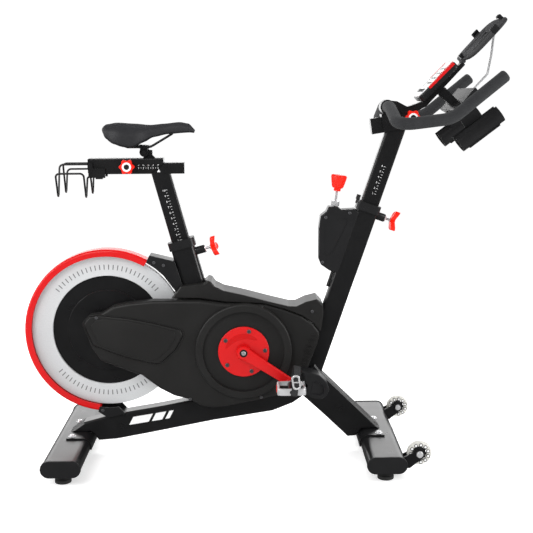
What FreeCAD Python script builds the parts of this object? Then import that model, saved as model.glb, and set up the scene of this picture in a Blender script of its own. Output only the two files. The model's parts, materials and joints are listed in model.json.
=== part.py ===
import FreeCAD, Part
import os
from math import asin, atan2, cos, degrees, hypot, pi, radians, sin, tan

# Indoor spin bike. Millimetres, +X towards the handlebar, +Y to the rider's left, +Z up.
# The origin is on the floor, under the middle of the whole bike.

# ---- driving dimensions -------------------------------------------------------------------

# The drawing's X of the middle of the whole bike, moved to the origin at the end
MIDDLE_X = 6.0

# Base
REAR_BASE_X = -596.0
FRONT_BASE_X = 380.0
BASE_HALF_WIDTH = 295.0
BASE_BOTTOM = 29.0
TUBE_DEEP = 118.0
TUBE_HIGH = 50.0
TUBE_WALL = 3.0
END_CAP_PROUD = 8.0
PLATE_HALF_WIDTH = 95.0
PLATE_THICK = 5.0
BASE_BOLT_Y = 76.0
FOOT_Y = 250.0
FOOT_RADIUS = 25.0

# Transport wheels
WHEEL_X = 482.0
WHEEL_Y = 240.0
WHEEL_Z = 76.0
WHEEL_RADIUS = 37.0
WHEEL_WIDTH = 24.0

# Frame tubes: a leaning tube is given by its X at one height and its lean from vertical
SEAT_X = -269.5
SEAT_Z = 800.0
SEAT_LEAN = -15.0
HEAD_X = 339.0
HEAD_Z = 775.0
HEAD_LEAN = 19.0
SEAT_TUBE_DEEP = 76.0
SEAT_TUBE_WIDE = 54.0
SEAT_TUBE_TOP = 690.0
HEAD_TUBE_DEEP = 66.0
HEAD_TUBE_WIDE = 50.0
HEAD_TUBE_TOP = 800.0
POST_DEEP = 58.0
POST_WIDE = 39.0
POST_WALL = 2.5
POST_PLAY = 0.35
BEAM_WIDE = 56.0
BEAM_WALL = 3.0

# Drive
CRANK_X = -48.0
CRANK_Z = 357.0
CRANK_LENGTH = 175.0
CRANK_DROP = 33.5
SPINDLE_RADIUS = 10.0
RUNNING_PLAY = 0.05
PULLEY_RADIUS = 112.0
SMALL_PULLEY_RADIUS = 28.0
BELT_Y = -48.0
BELT_WIDE = 16.0
BELT_THICK = 3.0
BELT_PLAY = 0.4
DISC_RADIUS = 80.0
DISC_Y = 82.0
DISC_THICK = 4.0
DISC_SCREW_RADIUS = 67.0
ARM_Y = 92.0
ARM_THICK = 16.0
PEDAL_Y = 166.0
PEDAL_LONG = 88.0
PEDAL_WIDE = 92.0
PEDAL_HIGH = 24.0
PEDAL_PIN_RADIUS = 6.0
STRAP_FOOT = 8.5

# Flywheel and its guard
WHEEL_CENTRE_X = -479.0
WHEEL_CENTRE_Z = 414.0
FLYWHEEL_RADIUS = 243.0
FLYWHEEL_BAND = 176.0
FLYWHEEL_STEP = 130.0
FLYWHEEL_THICK = 22.0
HUB_RADIUS = 25.0
HUB_LONG = 119.0
AXLE_RADIUS = 8.0
STAY_Y = 61.0
STAY_THICK = 5.0
GUARD_RADIUS = 262.0
GUARD_LIP = 240.0
GUARD_HALF_WIDTH = 32.0
GUARD_WALL = 4.0
GUARD_START = 60.0
GUARD_END = 262.5

# Covers
COVER_INNER_Y = 36.0
COVER_FACE_Y = 78.0
COVER_NOSE_Y = 62.0
COVER_WALL = 3.0
DRUM_RADIUS = 151.0
DRUM_Y = 90.0
RECESS_RADIUS = 128.0
RECESS_Y = 80.0
HATCH_PROUD = 6.0
TOP_COVER_HALF = 58.0

# Seat assembly
RAIL_WIDE = 40.0
SEAT_RAIL_REAR = -512.0
SEAT_RAIL_FRONT = -226.0
SEAT_RAIL_BOTTOM = 911.0
SEAT_RAIL_HIGH = 34.0
SLIDE_PLAY = 0.4
CARRIAGE_WALL = 5.0
SEAT_CARRIAGE_REAR = -522.0
SEAT_CARRIAGE_FRONT = -290.0
SEAT_CARRIAGE_TOP = 960.0
SEAT_KNOB_X = -401.0
SEAT_KNOB_Z = 935.0
SADDLE_PIVOT_X = -350.0
SADDLE_PIVOT_Z = 978.0
RACK_WIRE = 3.0
RACK_REAR_X = -610.0
RACK_FRONT_X = -525.0
RACK_INNER_Y = 29.0
RACK_OUTER_Y = 105.0

# Handlebar assembly
BAR_RAIL_X = 357.0
BAR_RAIL_Z = 1027.0
BAR_RAIL_TILT = 8.6
BAR_RAIL_LONG = 150.0
BAR_RAIL_HIGH = 48.0
BAR_RADIUS = 18.0
BAR_HALF_WIDTH = 250.0
CROSSBAR_X = 403.0
CROSSBAR_Z = 1111.0
BAR_KNOB_X = 478.0
BAR_KNOB_Z = 1078.0
CONSOLE_TILT = 45.0
TRAY_TILT = 47.0
TRAY_LONG = 168.0
TRAY_HALF_WIDTH = 135.0
HOLDER_Y = 149.0
HOLDER_RADIUS = 29.0
HOLDER_WALL = 3.5
HOLDER_SLOT = 34.0
HOLDER_LONG = 150.0
HOLDER_TILT = 37.0

# Pull pins of both posts, and the resistance control
PIN_RADIUS = 4.0
BARREL_RADIUS = 11.5
BARREL_LONG = 31.0
SEAT_PIN_HEIGHT = 656.0
BAR_PIN_HEIGHT = 784.0
PIN_GAP = 1.2
LEVER_X = 243.0
LEVER_Z = 802.0
LEVER_LEAN = 8.0
LEVER_HALF_WIDTH = 26.0

V = FreeCAD.Vector
ACROSS = V(0, 1, 0)
UP = V(0, 0, 1)


# ---- geometry helpers ---------------------------------------------------------------------

def flat(points, y=0.0):
    """Points in the side view, set at one distance across the bike."""
    return [V(x, y, z) for x, z in points]


def rounded_wire(points, radius, closed=True):
    """A wire of straight runs with every turn rounded to a radius, or to a radius each."""
    count = len(points)
    radii = list(radius) if isinstance(radius, (list, tuple)) else [radius] * count
    turns = []
    for index, corner in enumerate(points):
        loose_end = not closed and index in (0, count - 1)
        if loose_end or radii[index] <= 0:
            turns.append((corner, None, corner))
            continue
        back = (points[index - 1] - corner).normalize()
        ahead = (points[(index + 1) % count] - corner).normalize()
        half = back.getAngle(ahead) / 2
        if half > radians(89.5):
            turns.append((corner, None, corner))
            continue
        inward = (back + ahead).normalize()
        reach = radii[index] / tan(half)
        middle = corner + inward * (radii[index] / sin(half) - radii[index])
        turns.append((corner + back * reach, middle, corner + ahead * reach))
    edges = []
    for index, (start, middle, end) in enumerate(turns):
        if middle is not None:
            edges.append(Part.Arc(start, middle, end).toShape())
        if closed or index < count - 1:
            following = turns[(index + 1) % count][0]
            if (following - end).Length > 1e-6:
                edges.append(Part.makeLine(end, following))
    return Part.Wire(edges)


def prism(points, radius, y_low, y_high):
    """A side-view outline with rounded corners, given a thickness across the bike."""
    face = Part.Face(rounded_wire(flat(points, y_low), radius))
    return face.extrude(V(0, y_high - y_low, 0))


def soften(solid, size, y_levels, chamfer=False):
    """Round or chamfer the edges that lie at the given distances across the bike."""
    edges = []
    for edge in solid.Edges:
        box = edge.BoundBox
        for level in y_levels:
            if abs(box.YMin - level) < 0.01 and abs(box.YMax - level) < 0.01:
                edges.append(edge)
    if chamfer:
        return solid.makeChamfer(size, edges)
    return solid.makeFillet(size, edges)


def cylinder(centre, direction, radius, long):
    return Part.makeCylinder(radius, long, centre, direction)


def across_bar(x, z, radius, y_low, y_high):
    """A round bar that lies across the bike."""
    return Part.makeCylinder(radius, y_high - y_low, V(x, y_low, z), ACROSS)


def across_ring(x, z, outer, inner, y_low, y_high):
    hole = across_bar(x, z, inner, y_low - 1, y_high + 1)
    return across_bar(x, z, outer, y_low, y_high).cut(hole)


def block(x_low, x_high, y_low, y_high, z_low, z_high):
    return Part.makeBox(x_high - x_low, y_high - y_low, z_high - z_low, V(x_low, y_low, z_low))


def fuse(shapes):
    result = shapes[0]
    for shape in shapes[1:]:
        result = result.fuse(shape)
    return result.removeSplitter()


def cut(shape, tools):
    for tool in tools:
        shape = shape.cut(tool)
    return shape


def mirrored(shape):
    """The same piece on the other side of the bike's middle plane."""
    return shape.mirror(V(0, 0, 0), ACROSS)


def set_on(shape, point, direction):
    """Move a piece that was built on +Z at the origin to a point and a direction."""
    moved = shape.copy()
    turn = FreeCAD.Rotation(UP, direction)
    moved.Placement = FreeCAD.Placement(point, turn).multiply(moved.Placement)
    return moved


def rod(points, bend, radius):
    """A round rod along straight runs joined by tangent arcs."""
    path = rounded_wire(points, bend, closed=False)
    start = (points[1] - points[0]).normalize()
    circle = Part.Wire(Part.makeCircle(radius, points[0], start))
    return path.makePipeShell([circle], True, False)


class Leaning:
    """A straight line that leans in the side view, through one point."""

    def __init__(self, x, z, lean):
        self.x = x
        self.z = z
        self.slope = tan(radians(lean))
        self.along = V(sin(radians(lean)), 0, cos(radians(lean)))
        self.ahead = V(cos(radians(lean)), 0, -sin(radians(lean)))

    def at(self, height):
        return V(self.x + self.slope * (height - self.z), 0, height)

    def bar(self, low, high, deep, wide, corner):
        """A rounded rectangular bar between two heights of the line."""
        start = self.at(low)
        corners = []
        for forward, side in ((-1, -1), (1, -1), (1, 1), (-1, 1)):
            corners.append(start + self.ahead * (forward * deep / 2) + ACROSS * (side * wide / 2))
        face = Part.Face(rounded_wire(corners, corner))
        return face.extrude(self.at(high) - start)


SEAT = Leaning(SEAT_X, SEAT_Z, SEAT_LEAN)
HEAD = Leaning(HEAD_X, HEAD_Z, HEAD_LEAN)
LEVER = Leaning(LEVER_X, LEVER_Z, LEVER_LEAN)
CRANK = V(CRANK_X, 0, CRANK_Z)
HUB = V(WHEEL_CENTRE_X, 0, WHEEL_CENTRE_Z)
BASE_MIDDLE_Z = BASE_BOTTOM + TUBE_HIGH / 2
BASE_TOP = BASE_BOTTOM + TUBE_HIGH

nodes = {}


# ---- base ---------------------------------------------------------------------------------

def stadium(x, deep, high, y_low, y_high):
    """A flat bar with fully rounded sides, lying across the bike."""
    flat_half = (deep - high) / 2
    middle = block(x - flat_half, x + flat_half, y_low, y_high,
                   BASE_MIDDLE_Z - high / 2, BASE_MIDDLE_Z + high / 2)
    sides = [across_bar(x + side * flat_half, BASE_MIDDLE_Z, high / 2, y_low, y_high)
             for side in (-1, 1)]
    return fuse([middle] + sides)


def base_tube(x):
    end = BASE_HALF_WIDTH - END_CAP_PROUD
    outside = stadium(x, TUBE_DEEP, TUBE_HIGH, -end, end)
    inside = stadium(x, TUBE_DEEP - 2 * TUBE_WALL, TUBE_HIGH - 2 * TUBE_WALL, -end - 1, end + 1)
    stem_holes = [cylinder(V(x, side * FOOT_Y, BASE_BOTTOM - 1), UP, 6.0, TUBE_WALL + 2)
                  for side in (-1, 1)]
    return cut(outside, [inside] + stem_holes)


def end_cap(x):
    """The cap on the right end of a base tube, with its plug inside the tube."""
    end = -BASE_HALF_WIDTH
    face = stadium(x, TUBE_DEEP + 4, TUBE_HIGH + 3, end, end + END_CAP_PROUD)
    face = soften(face, 2.5, [end])
    plug = stadium(x, TUBE_DEEP - 2 * TUBE_WALL - 0.4, TUBE_HIGH - 2 * TUBE_WALL - 0.4,
                   end + END_CAP_PROUD - 1, end + END_CAP_PROUD + 14)
    return fuse([face, plug])


def base_plate(x, inward):
    """The saddle that is welded to the frame and wraps over a base tube's inner side."""
    wide = PLATE_HALF_WIDTH
    high = BASE_TOP + PLATE_THICK
    bend_x = x + inward * (TUBE_DEEP - TUBE_HIGH) / 2
    far_x = x - inward * 16.0
    top = block(min(bend_x, far_x), max(bend_x, far_x), -wide, wide, BASE_TOP + 0.2, high)
    outer = TUBE_HIGH / 2 + PLATE_THICK
    wrap = across_ring(bend_x, BASE_MIDDLE_Z, outer, TUBE_HIGH / 2 + 0.2, -wide, wide)
    low_x = bend_x if inward > 0 else bend_x - outer - 1
    keep = block(low_x, low_x + outer + 1, -wide, wide, BASE_MIDDLE_Z - 8, high)
    return fuse([top, wrap.common(keep)])


def dome_bolt(point, direction, head_radius, shank_radius, shank_long):
    """A round-headed bolt whose head stands on the point, with a hexagon socket."""
    washer = Part.makeCylinder(head_radius * 1.25, 1.6)
    head = Part.makeCylinder(head_radius, head_radius * 0.55, V(0, 0, 1.6))
    head = head.makeFillet(head_radius * 0.4, [head.Edges[0]])
    corners = []
    for step in range(7):
        turn = step * pi / 3
        corners.append(V(head_radius * 0.45 * cos(turn), head_radius * 0.45 * sin(turn), 2.4))
    socket = Part.Face(Part.makePolygon(corners)).extrude(V(0, 0, head_radius))
    shank = Part.makeCylinder(shank_radius, shank_long, V(0, 0, -shank_long))
    return set_on(fuse([washer, head, shank]).cut(socket), point, direction)


def foot(x, y):
    """A levelling foot: a rubber pad on a threaded stem."""
    pad = Part.makeCylinder(FOOT_RADIUS, 12.0, V(x, y, 0))
    pad = pad.makeFillet(3.0, [edge for edge in pad.Edges if edge.BoundBox.ZLength < 0.01])
    neck = Part.makeCone(FOOT_RADIUS - 5, 10.0, 12.0, V(x, y, 11.5))
    stem = Part.makeCylinder(5.6, 22.0, V(x, y, 22.0))
    return fuse([pad, neck, stem])


def make_base():
    tubes = [base_tube(REAR_BASE_X), base_tube(FRONT_BASE_X)]
    bolt_holes = []
    for x in (REAR_BASE_X, FRONT_BASE_X):
        for side in (-1, 1):
            bolt_holes.append(cylinder(V(x, side * BASE_BOLT_Y, BASE_TOP - 6), UP, 5.2, 12.0))
    nodes["stabilizers"] = [cut(tube, bolt_holes) for tube in tubes]
    caps = [end_cap(REAR_BASE_X), end_cap(FRONT_BASE_X)]
    nodes["stabilizer_end_caps"] = caps + [mirrored(cap) for cap in caps]
    for end, x in (("rear", REAR_BASE_X), ("front", FRONT_BASE_X)):
        nodes["foot_%s_right" % end] = [foot(x, -FOOT_Y)]
        nodes["foot_%s_left" % end] = [foot(x, FOOT_Y)]
    return bolt_holes


def wheel_bracket():
    """The fork that carries the right transport wheel."""
    gap = WHEEL_WIDTH / 2 + 1.5
    flank_x = FRONT_BASE_X + TUBE_DEEP / 2
    outline = [(flank_x - 8, 33), (flank_x - 8, 66), (WHEEL_X - 4, WHEEL_Z + 13),
               (WHEEL_X + 13, WHEEL_Z + 6), (WHEEL_X + 10, WHEEL_Z - 12), (flank_x + 14, 33)]
    ears = []
    for low in (-WHEEL_Y - gap - 4, -WHEEL_Y + gap):
        ears.append(prism(outline, [1, 4, 10, 10, 10, 4], low, low + 4))
    web = block(flank_x - 8, flank_x - 3, -WHEEL_Y - gap - 4, -WHEEL_Y + gap + 4, 34, 64)
    hole = across_bar(WHEEL_X, WHEEL_Z, 5.2, -WHEEL_Y - 30, -WHEEL_Y + 30)
    tube = stadium(FRONT_BASE_X, TUBE_DEEP + 0.2, TUBE_HIGH + 0.2, -WHEEL_Y - 30, -WHEEL_Y + 30)
    return fuse(ears + [web]).cut(hole).cut(tube)


def transport_wheel(side):
    """A skate wheel: soft tread, spoked hub and bore."""
    y = side * WHEEL_Y
    half = WHEEL_WIDTH / 2
    tread = across_bar(WHEEL_X, WHEEL_Z, WHEEL_RADIUS, y - half, y + half)
    tread = soften(tread, 7.0, [y - half, y + half])
    dishes = [across_bar(WHEEL_X, WHEEL_Z, 22.0, y - half - 1, y - half + 4),
              across_bar(WHEEL_X, WHEEL_Z, 22.0, y + half - 4, y + half + 1)]
    hub = across_bar(WHEEL_X, WHEEL_Z, 11.0, y - half, y + half)
    bore = across_bar(WHEEL_X, WHEEL_Z, 5.0 + RUNNING_PLAY, y - half - 1, y + half + 1)
    return fuse([cut(tread, dishes), hub]).cut(bore)


def wheel_axle():
    """The right wheel's axle bolt, through both ears of its fork."""
    ear = WHEEL_WIDTH / 2 + 5.5
    near = -WHEEL_Y - ear
    bolt = across_bar(WHEEL_X, WHEEL_Z, 5.0, near, -WHEEL_Y + ear + 8)
    head = across_bar(WHEEL_X, WHEEL_Z, 10.0, near - 6, near)
    nut = across_bar(WHEEL_X, WHEEL_Z, 9.0, -WHEEL_Y + ear, -WHEEL_Y + ear + 6)
    return fuse([bolt, soften(head, 2.0, [near - 6]), nut])


# ---- frame tubes --------------------------------------------------------------------------

BEAM_OUTLINE = [(-612, 82), (-566, 114), (-503, 131), (-429, 147), (-318, 165), (-220, 184),
                (-60, 213), (60, 236), (148, 236), (146, 199), (108, 172), (42, 146), (-148, 117),
                (-362, 76), (-461, 58), (-519, 54), (-532, 72), (-545, 82)]
LEG_OUTLINE = [(96, 262), (178, 300), (201, 270), (391, 82), (330, 82), (311, 60), (285, 58),
               (214, 127), (140, 196), (100, 215)]


def hollow_of(outline, half):
    """The space inside a welded box beam, one wall's thickness from each of its faces."""
    face = Part.Face(rounded_wire(flat(outline, -half + BEAM_WALL), 0))
    inner = face.makeOffset2D(-BEAM_WALL)
    return inner.extrude(V(0, 2 * (half - BEAM_WALL), 0))


def make_frame(bolt_holes):
    half = BEAM_WIDE / 2
    rear_plate = base_plate(REAR_BASE_X, 1)
    front_plate = base_plate(FRONT_BASE_X, -1)
    tubes = [stadium(x, TUBE_DEEP + 0.3, TUBE_HIGH + 0.3, -half - 1, half + 1)
             for x in (REAR_BASE_X, FRONT_BASE_X)]
    beam = prism(BEAM_OUTLINE, 0, -half, half)
    beam = soften(beam, 5.0, [-half, half], chamfer=True)
    beam_hollow = hollow_of(BEAM_OUTLINE, half)
    head_bore = HEAD.bar(230, HEAD_TUBE_TOP, HEAD_TUBE_DEEP + 0.2, HEAD_TUBE_WIDE + 0.2, 8.0)
    seat_bore = SEAT.bar(150, SEAT_TUBE_TOP, SEAT_TUBE_DEEP + 0.2, SEAT_TUBE_WIDE + 0.2, 20.0)
    leg = prism(LEG_OUTLINE, 0, -half - 2, half + 2)
    leg = soften(leg, 5.0, [-half - 2, half + 2], chamfer=True)
    leg = cut(leg, [head_bore, beam, tubes[1], hollow_of(LEG_OUTLINE, half + 2)])
    beam_shell = cut(beam, [tubes[0], beam_hollow])
    nodes["lower_beam"] = [cut(fuse([beam_shell, rear_plate]), bolt_holes)]
    nodes["front_leg"] = [cut(fuse([leg, front_plate]), bolt_holes)]

    head = HEAD.bar(262, HEAD_TUBE_TOP, HEAD_TUBE_DEEP, HEAD_TUBE_WIDE, 8.0)
    head_hollow = HEAD.bar(300, HEAD_TUBE_TOP + 10, HEAD_TUBE_DEEP - 5, HEAD_TUBE_WIDE - 5, 6.0)
    head = cut(head, [head_hollow, beam, pin_hole(HEAD, BAR_PIN_HEIGHT)])
    nodes["head_tube"] = [head]

    seat = SEAT.bar(185, SEAT_TUBE_TOP, SEAT_TUBE_DEEP, SEAT_TUBE_WIDE, 20.0)
    seat_hollow = SEAT.bar(240, SEAT_TUBE_TOP + 10, SEAT_TUBE_DEEP - 6, SEAT_TUBE_WIDE - 6, 17.0)
    seat = cut(seat, [seat_hollow, beam, pin_hole(SEAT, SEAT_PIN_HEIGHT)])
    nodes["seat_tube"] = [seat]

    spine = prism([(-170, 455), (-170, 405), (230, 375), (230, 425)], 0, -18, 18)
    shell = across_bar(CRANK_X, CRANK_Z, 24.0, -34, 34)
    gusset = prism([(-76, 410), (-62, 357), (-34, 357), (-14, 410)], 0, -15, 15)
    strut = prism([(-60, 360), (-36, 360), (-36, 200), (-60, 200)], 0, -15, 15)
    spine = fuse([spine, shell, gusset, strut])
    bore = across_bar(CRANK_X, CRANK_Z, 21.0, -40, 40)
    spine = cut(spine, [bore, seat_bore, head_bore, beam])
    nodes["frame_spine"] = [spine] + flywheel_stays() + [brake_mount(seat_bore)]


def flywheel_stays():
    """The two plates that hold the flywheel's axle, each on a stub of the seat tube."""
    root = SEAT.at(430)
    outline = [(WHEEL_CENTRE_X - 24, WHEEL_CENTRE_Z - 4), (WHEEL_CENTRE_X, WHEEL_CENTRE_Z + 24),
               (root.x + 16, root.z + 18), (root.x + 16, root.z - 18),
               (WHEEL_CENTRE_X, WHEEL_CENTRE_Z - 24)]
    plate = prism(outline, [16, 12, 10, 10, 12], -STAY_Y - STAY_THICK, -STAY_Y)
    stub = across_bar(root.x, root.z, 14.0, -STAY_Y - 1, -SEAT_TUBE_WIDE / 2)
    axle_hole = across_bar(WHEEL_CENTRE_X, WHEEL_CENTRE_Z, AXLE_RADIUS + 0.1, -80, 0)
    stay = fuse([plate, stub]).cut(axle_hole)
    return [stay, mirrored(stay)]


def pin_hole(line, height):
    return cylinder(line.at(height), line.ahead, PIN_RADIUS + 0.5, 60.0)


BRAKE_PIVOT_X = -211.0
BRAKE_PIVOT_Z = 352.0


def brake_mount(seat_bore):
    """Two lugs behind the seat tube and the pin that the brake arm turns on."""
    lugs = []
    for low in (-24.0, 19.0):
        lugs.append(prism([(BRAKE_PIVOT_X - 8, BRAKE_PIVOT_Z + 8), (-165, BRAKE_PIVOT_Z + 12),
                           (-165, BRAKE_PIVOT_Z - 12), (BRAKE_PIVOT_X - 8, BRAKE_PIVOT_Z - 8)],
                          [7, 0, 0, 7], low, low + 5))
    pin = across_bar(BRAKE_PIVOT_X, BRAKE_PIVOT_Z, PIN_RADIUS, -22, 22)
    return cut(fuse(lugs + [pin]), [seat_bore])


def make_brake_arm():
    """The magnetic brake's caliper, which straddles the flywheel's rim."""
    boss = across_bar(BRAKE_PIVOT_X, BRAKE_PIVOT_Z, 9.0, -18, 18)
    lever = prism([(-221, 352), (-227, 404), (-218, 404), (-205, 352)], 0, -14, 14)
    bridge = prism([(-227, 404), (-233, 456), (-225, 456), (-218, 404)], 0, -18, 18)
    pieces = [boss, lever, bridge]
    for side in (-1, 1):
        low = min(side * 14.0, side * 18.0)
        pieces.append(prism([(-222, 404), (-268, 396), (-276, 452), (-228, 456)], [0, 8, 8, 0],
                            low, low + 4))
        for height in (410, 436):
            low = min(side * 12.5, side * 14.5)
            pieces.append(across_bar(-258, height, 9.0, low, low + 2))
    bore = across_bar(BRAKE_PIVOT_X, BRAKE_PIVOT_Z, PIN_RADIUS + RUNNING_PLAY, -30, 30)
    nodes["brake_arm"] = [fuse(pieces).cut(bore)]


def post_collar(line, top, tube_deep, tube_wide, corner):
    """A plastic collar on a tube's mouth, with a sleeve that guides the post."""
    cap = line.bar(top - 14, top + 12, tube_deep + 10, tube_wide + 8, corner + 3)
    tube = line.bar(top - 20, top, tube_deep + 0.1, tube_wide + 0.1, corner)
    sleeve = line.bar(top - 110, top + 2, tube_deep - 6.5, tube_wide - 6.5, corner - 3)
    guide = line.bar(top - 120, top + 30, POST_DEEP + 2 * POST_PLAY, POST_WIDE + 2 * POST_PLAY, 8.0)
    return fuse([cap.cut(tube), sleeve]).cut(guide)


def pin_barrel(line, height, tube_deep):
    """The threaded barrel that guides a pull pin, square to its tube."""
    start = line.at(height) + line.ahead * (tube_deep / 2)
    barrel = Part.makeCylinder(BARREL_RADIUS, BARREL_LONG)
    barrel = barrel.makeChamfer(1.2, [barrel.Edges[0]])
    bore = Part.makeCylinder(PIN_RADIUS + RUNNING_PLAY, BARREL_LONG + 2, V(0, 0, -1))
    return set_on(barrel.cut(bore), start, line.ahead)


def pull_knob(line, height, tube_deep):
    """A three-armed pull knob on its pin, which stops short of the post."""
    origin = line.at(height)
    first = POST_DEEP / 2 + PIN_GAP
    hub_at = tube_deep / 2 + BARREL_LONG + 14.0
    pin = Part.makeCylinder(PIN_RADIUS, hub_at - first + 6, V(0, 0, first))
    hub = Part.makeCone(9.0, 14.0, 14.0, V(0, 0, hub_at))
    pieces = [pin, hub]
    for step in range(3):
        arm = Part.makeCone(9.0, 6.0, 26.0, V(0, 0, hub_at + 10), V(1, 0, 0.28))
        tip = Part.makeSphere(7.0, V(25.0, 0, hub_at + 17))
        for piece in (arm, tip):
            piece.rotate(V(0, 0, 0), UP, step * 120.0)
            pieces.append(piece)
    return set_on(fuse(pieces), origin, line.ahead)


def make_post_hardware():
    collars = [post_collar(SEAT, SEAT_TUBE_TOP, SEAT_TUBE_DEEP, SEAT_TUBE_WIDE, 20.0),
               post_collar(HEAD, HEAD_TUBE_TOP, HEAD_TUBE_DEEP, HEAD_TUBE_WIDE, 8.0)]
    holes = [pin_hole(SEAT, SEAT_PIN_HEIGHT), pin_hole(HEAD, BAR_PIN_HEIGHT)]
    barrels = [set_on(Part.makeCylinder(BARREL_RADIUS + 0.1, BARREL_LONG),
                      line.at(height) + line.ahead * (deep / 2), line.ahead)
               for line, height, deep in ((SEAT, SEAT_PIN_HEIGHT, SEAT_TUBE_DEEP),
                                          (HEAD, BAR_PIN_HEIGHT, HEAD_TUBE_DEEP))]
    nodes["post_collars"] = [cut(collar, [hole, barrel])
                             for collar, hole, barrel in zip(collars, holes, barrels)]
    nodes["seat_pin_knob"] = [pull_knob(SEAT, SEAT_PIN_HEIGHT, SEAT_TUBE_DEEP)]
    nodes["bar_pin_knob"] = [pull_knob(HEAD, BAR_PIN_HEIGHT, HEAD_TUBE_DEEP)]


def make_frame_hardware():
    pieces = []
    for x in (REAR_BASE_X, FRONT_BASE_X):
        for side in (-1, 1):
            pieces.append(dome_bolt(V(x, side * BASE_BOLT_Y, BASE_TOP + PLATE_THICK), UP,
                                    9.0, 5.0, 20.0))
    axle = wheel_axle()
    pieces += [axle, mirrored(axle)]
    pieces.append(pin_barrel(SEAT, SEAT_PIN_HEIGHT, SEAT_TUBE_DEEP))
    pieces.append(pin_barrel(HEAD, BAR_PIN_HEIGHT, HEAD_TUBE_DEEP))
    pieces.append(lever_nut())
    nodes["frame_hardware"] = pieces


# ---- resistance control -------------------------------------------------------------------

LEVER_OUTLINE = [(222, 804), (252, 803), (262, 794), (306, 796), (318, 784), (252, 594), (225, 602),
                 (198, 621), (192, 636), (192, 738), (197, 775), (215, 789)]
LEVER_PANEL = [(208, 751), (246, 764), (284, 769), (279, 748), (236, 660), (209, 642)]


def lever_shell():
    """The right half of the lever's housing."""
    low = -LEVER_HALF_WIDTH
    outer = soften(prism(LEVER_OUTLINE, 5.0, low, 0), 4.0, [low])
    face = Part.Face(rounded_wire(flat(LEVER_OUTLINE, low + 2.5), 5.0))
    inner = face.makeOffset2D(-2.5).extrude(V(0, LEVER_HALF_WIDTH, 0))
    panel = prism(LEVER_PANEL, 8.0, low - 1, low + 1.2)
    head = HEAD.bar(560, 840, HEAD_TUBE_DEEP + 0.6, HEAD_TUBE_WIDE + 0.6, 8.0)
    passage = cylinder(LEVER.at(740), LEVER.along, 6.0, 120.0)
    return cut(outer, [inner, panel, head, passage])


def lever_nut():
    corners = []
    for step in range(7):
        turn = step * pi / 3
        corners.append(V(13.0 * cos(turn), 13.0 * sin(turn), 0))
    nut = Part.Face(Part.makePolygon(corners)).extrude(V(0, 0, 15.0))
    nut = nut.cut(Part.makeCylinder(PIN_RADIUS + 0.6, 20.0, V(0, 0, -1)))
    return set_on(nut, LEVER.at(LEVER_Z + 3), LEVER.along)


def make_lever():
    shell = lever_shell()
    nodes["lever_housing_right"] = [shell]
    nodes["lever_housing_left"] = [mirrored(shell)]
    shaft = Part.makeCylinder(PIN_RADIUS, 100.0)
    nodes["resistance_shaft"] = [set_on(shaft, LEVER.at(768), LEVER.along)]
    knob = Part.makeCone(16.0, 25.0, 44.0, V(0, 0, 8.0))
    knob = knob.makeFillet(5.0, [edge for edge in knob.Edges if len(edge.Vertexes) == 1])
    flutes = []
    for step in range(8):
        flute = Part.makeCylinder(5.0, 60.0, V(24.0, 0, 14.0), V(0.18, 0, 1))
        flute.rotate(V(0, 0, 0), UP, step * 45.0 + 22.5)
        flutes.append(flute)
    collar = Part.makeCylinder(11.0, 12.0)
    bore = Part.makeCylinder(PIN_RADIUS + RUNNING_PLAY, 24.0, V(0, 0, -1))
    knob = cut(fuse([cut(knob, flutes), collar]), [bore])
    nodes["resistance_knob"] = [set_on(knob, LEVER.at(851), LEVER.along)]


def make_cable():
    """The brake cable in its sleeve, clipped along the back of the head tube."""
    back = HEAD_TUBE_DEEP / 2 + 5.2
    upper = [HEAD.at(height) - HEAD.ahead * back for height in (826, 800)]
    lower = [HEAD.at(height) - HEAD.ahead * back for height in (600, 535)]
    pieces = []
    for top, bottom in (upper, lower):
        pieces.append(cylinder(bottom, HEAD.along, 5.0, (top - bottom).Length))
    clip = HEAD.bar(812, 826, 12.0, 16.0, 2.0)
    clip.translate(HEAD.ahead * (-back - 1.0))
    collar = nodes["post_collars"][1]
    housing = nodes["lever_housing_right"] + nodes["lever_housing_left"]
    pieces[0] = cut(fuse([pieces[0], clip]), [collar] + housing + nodes["head_tube"])
    pieces[1] = cut(pieces[1], housing + nodes["top_cover"] + nodes["head_tube"])
    nodes["brake_cable"] = pieces


# ---- drive --------------------------------------------------------------------------------

def crank_point():
    turn = radians(CRANK_DROP)
    return V(CRANK_X + CRANK_LENGTH * cos(turn), 0, CRANK_Z - CRANK_LENGTH * sin(turn))


def crank_arm():
    """The right crank, from its square boss to the pedal eye, built pointing along +X."""
    low = -ARM_Y - ARM_THICK
    arm = prism([(-2, 19), (CRANK_LENGTH - 8, 14), (CRANK_LENGTH - 8, -14), (-2, -19)], 0,
                low + 3, -ARM_Y)
    arm = soften(arm, 3.0, [low + 3])
    boss = soften(across_bar(0, 0, 21.0, low, -DISC_Y), 2.0, [low])
    eye = soften(across_bar(CRANK_LENGTH, 0, 16.0, low, -ARM_Y), 2.0, [low])
    arm = fuse([arm, boss, eye])
    square = 2 * SPINDLE_RADIUS
    hole = across_bar(0, 0, SPINDLE_RADIUS, -ARM_Y - 9, -DISC_Y + 1)
    counterbore = across_bar(0, 0, square * 0.6, low - 1, low + 4)
    pedal_hole = across_bar(CRANK_LENGTH, 0, PEDAL_PIN_RADIUS, low - 1, -ARM_Y + 1)
    arm = cut(arm, [hole, counterbore, pedal_hole])
    arm.rotate(V(0, 0, 0), ACROSS, CRANK_DROP)
    arm.translate(CRANK)
    return arm


def turned_half(shape):
    """The same piece half a turn on about the crank's axis."""
    moved = shape.copy()
    moved.rotate(CRANK, ACROSS, 180.0)
    return moved


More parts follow.
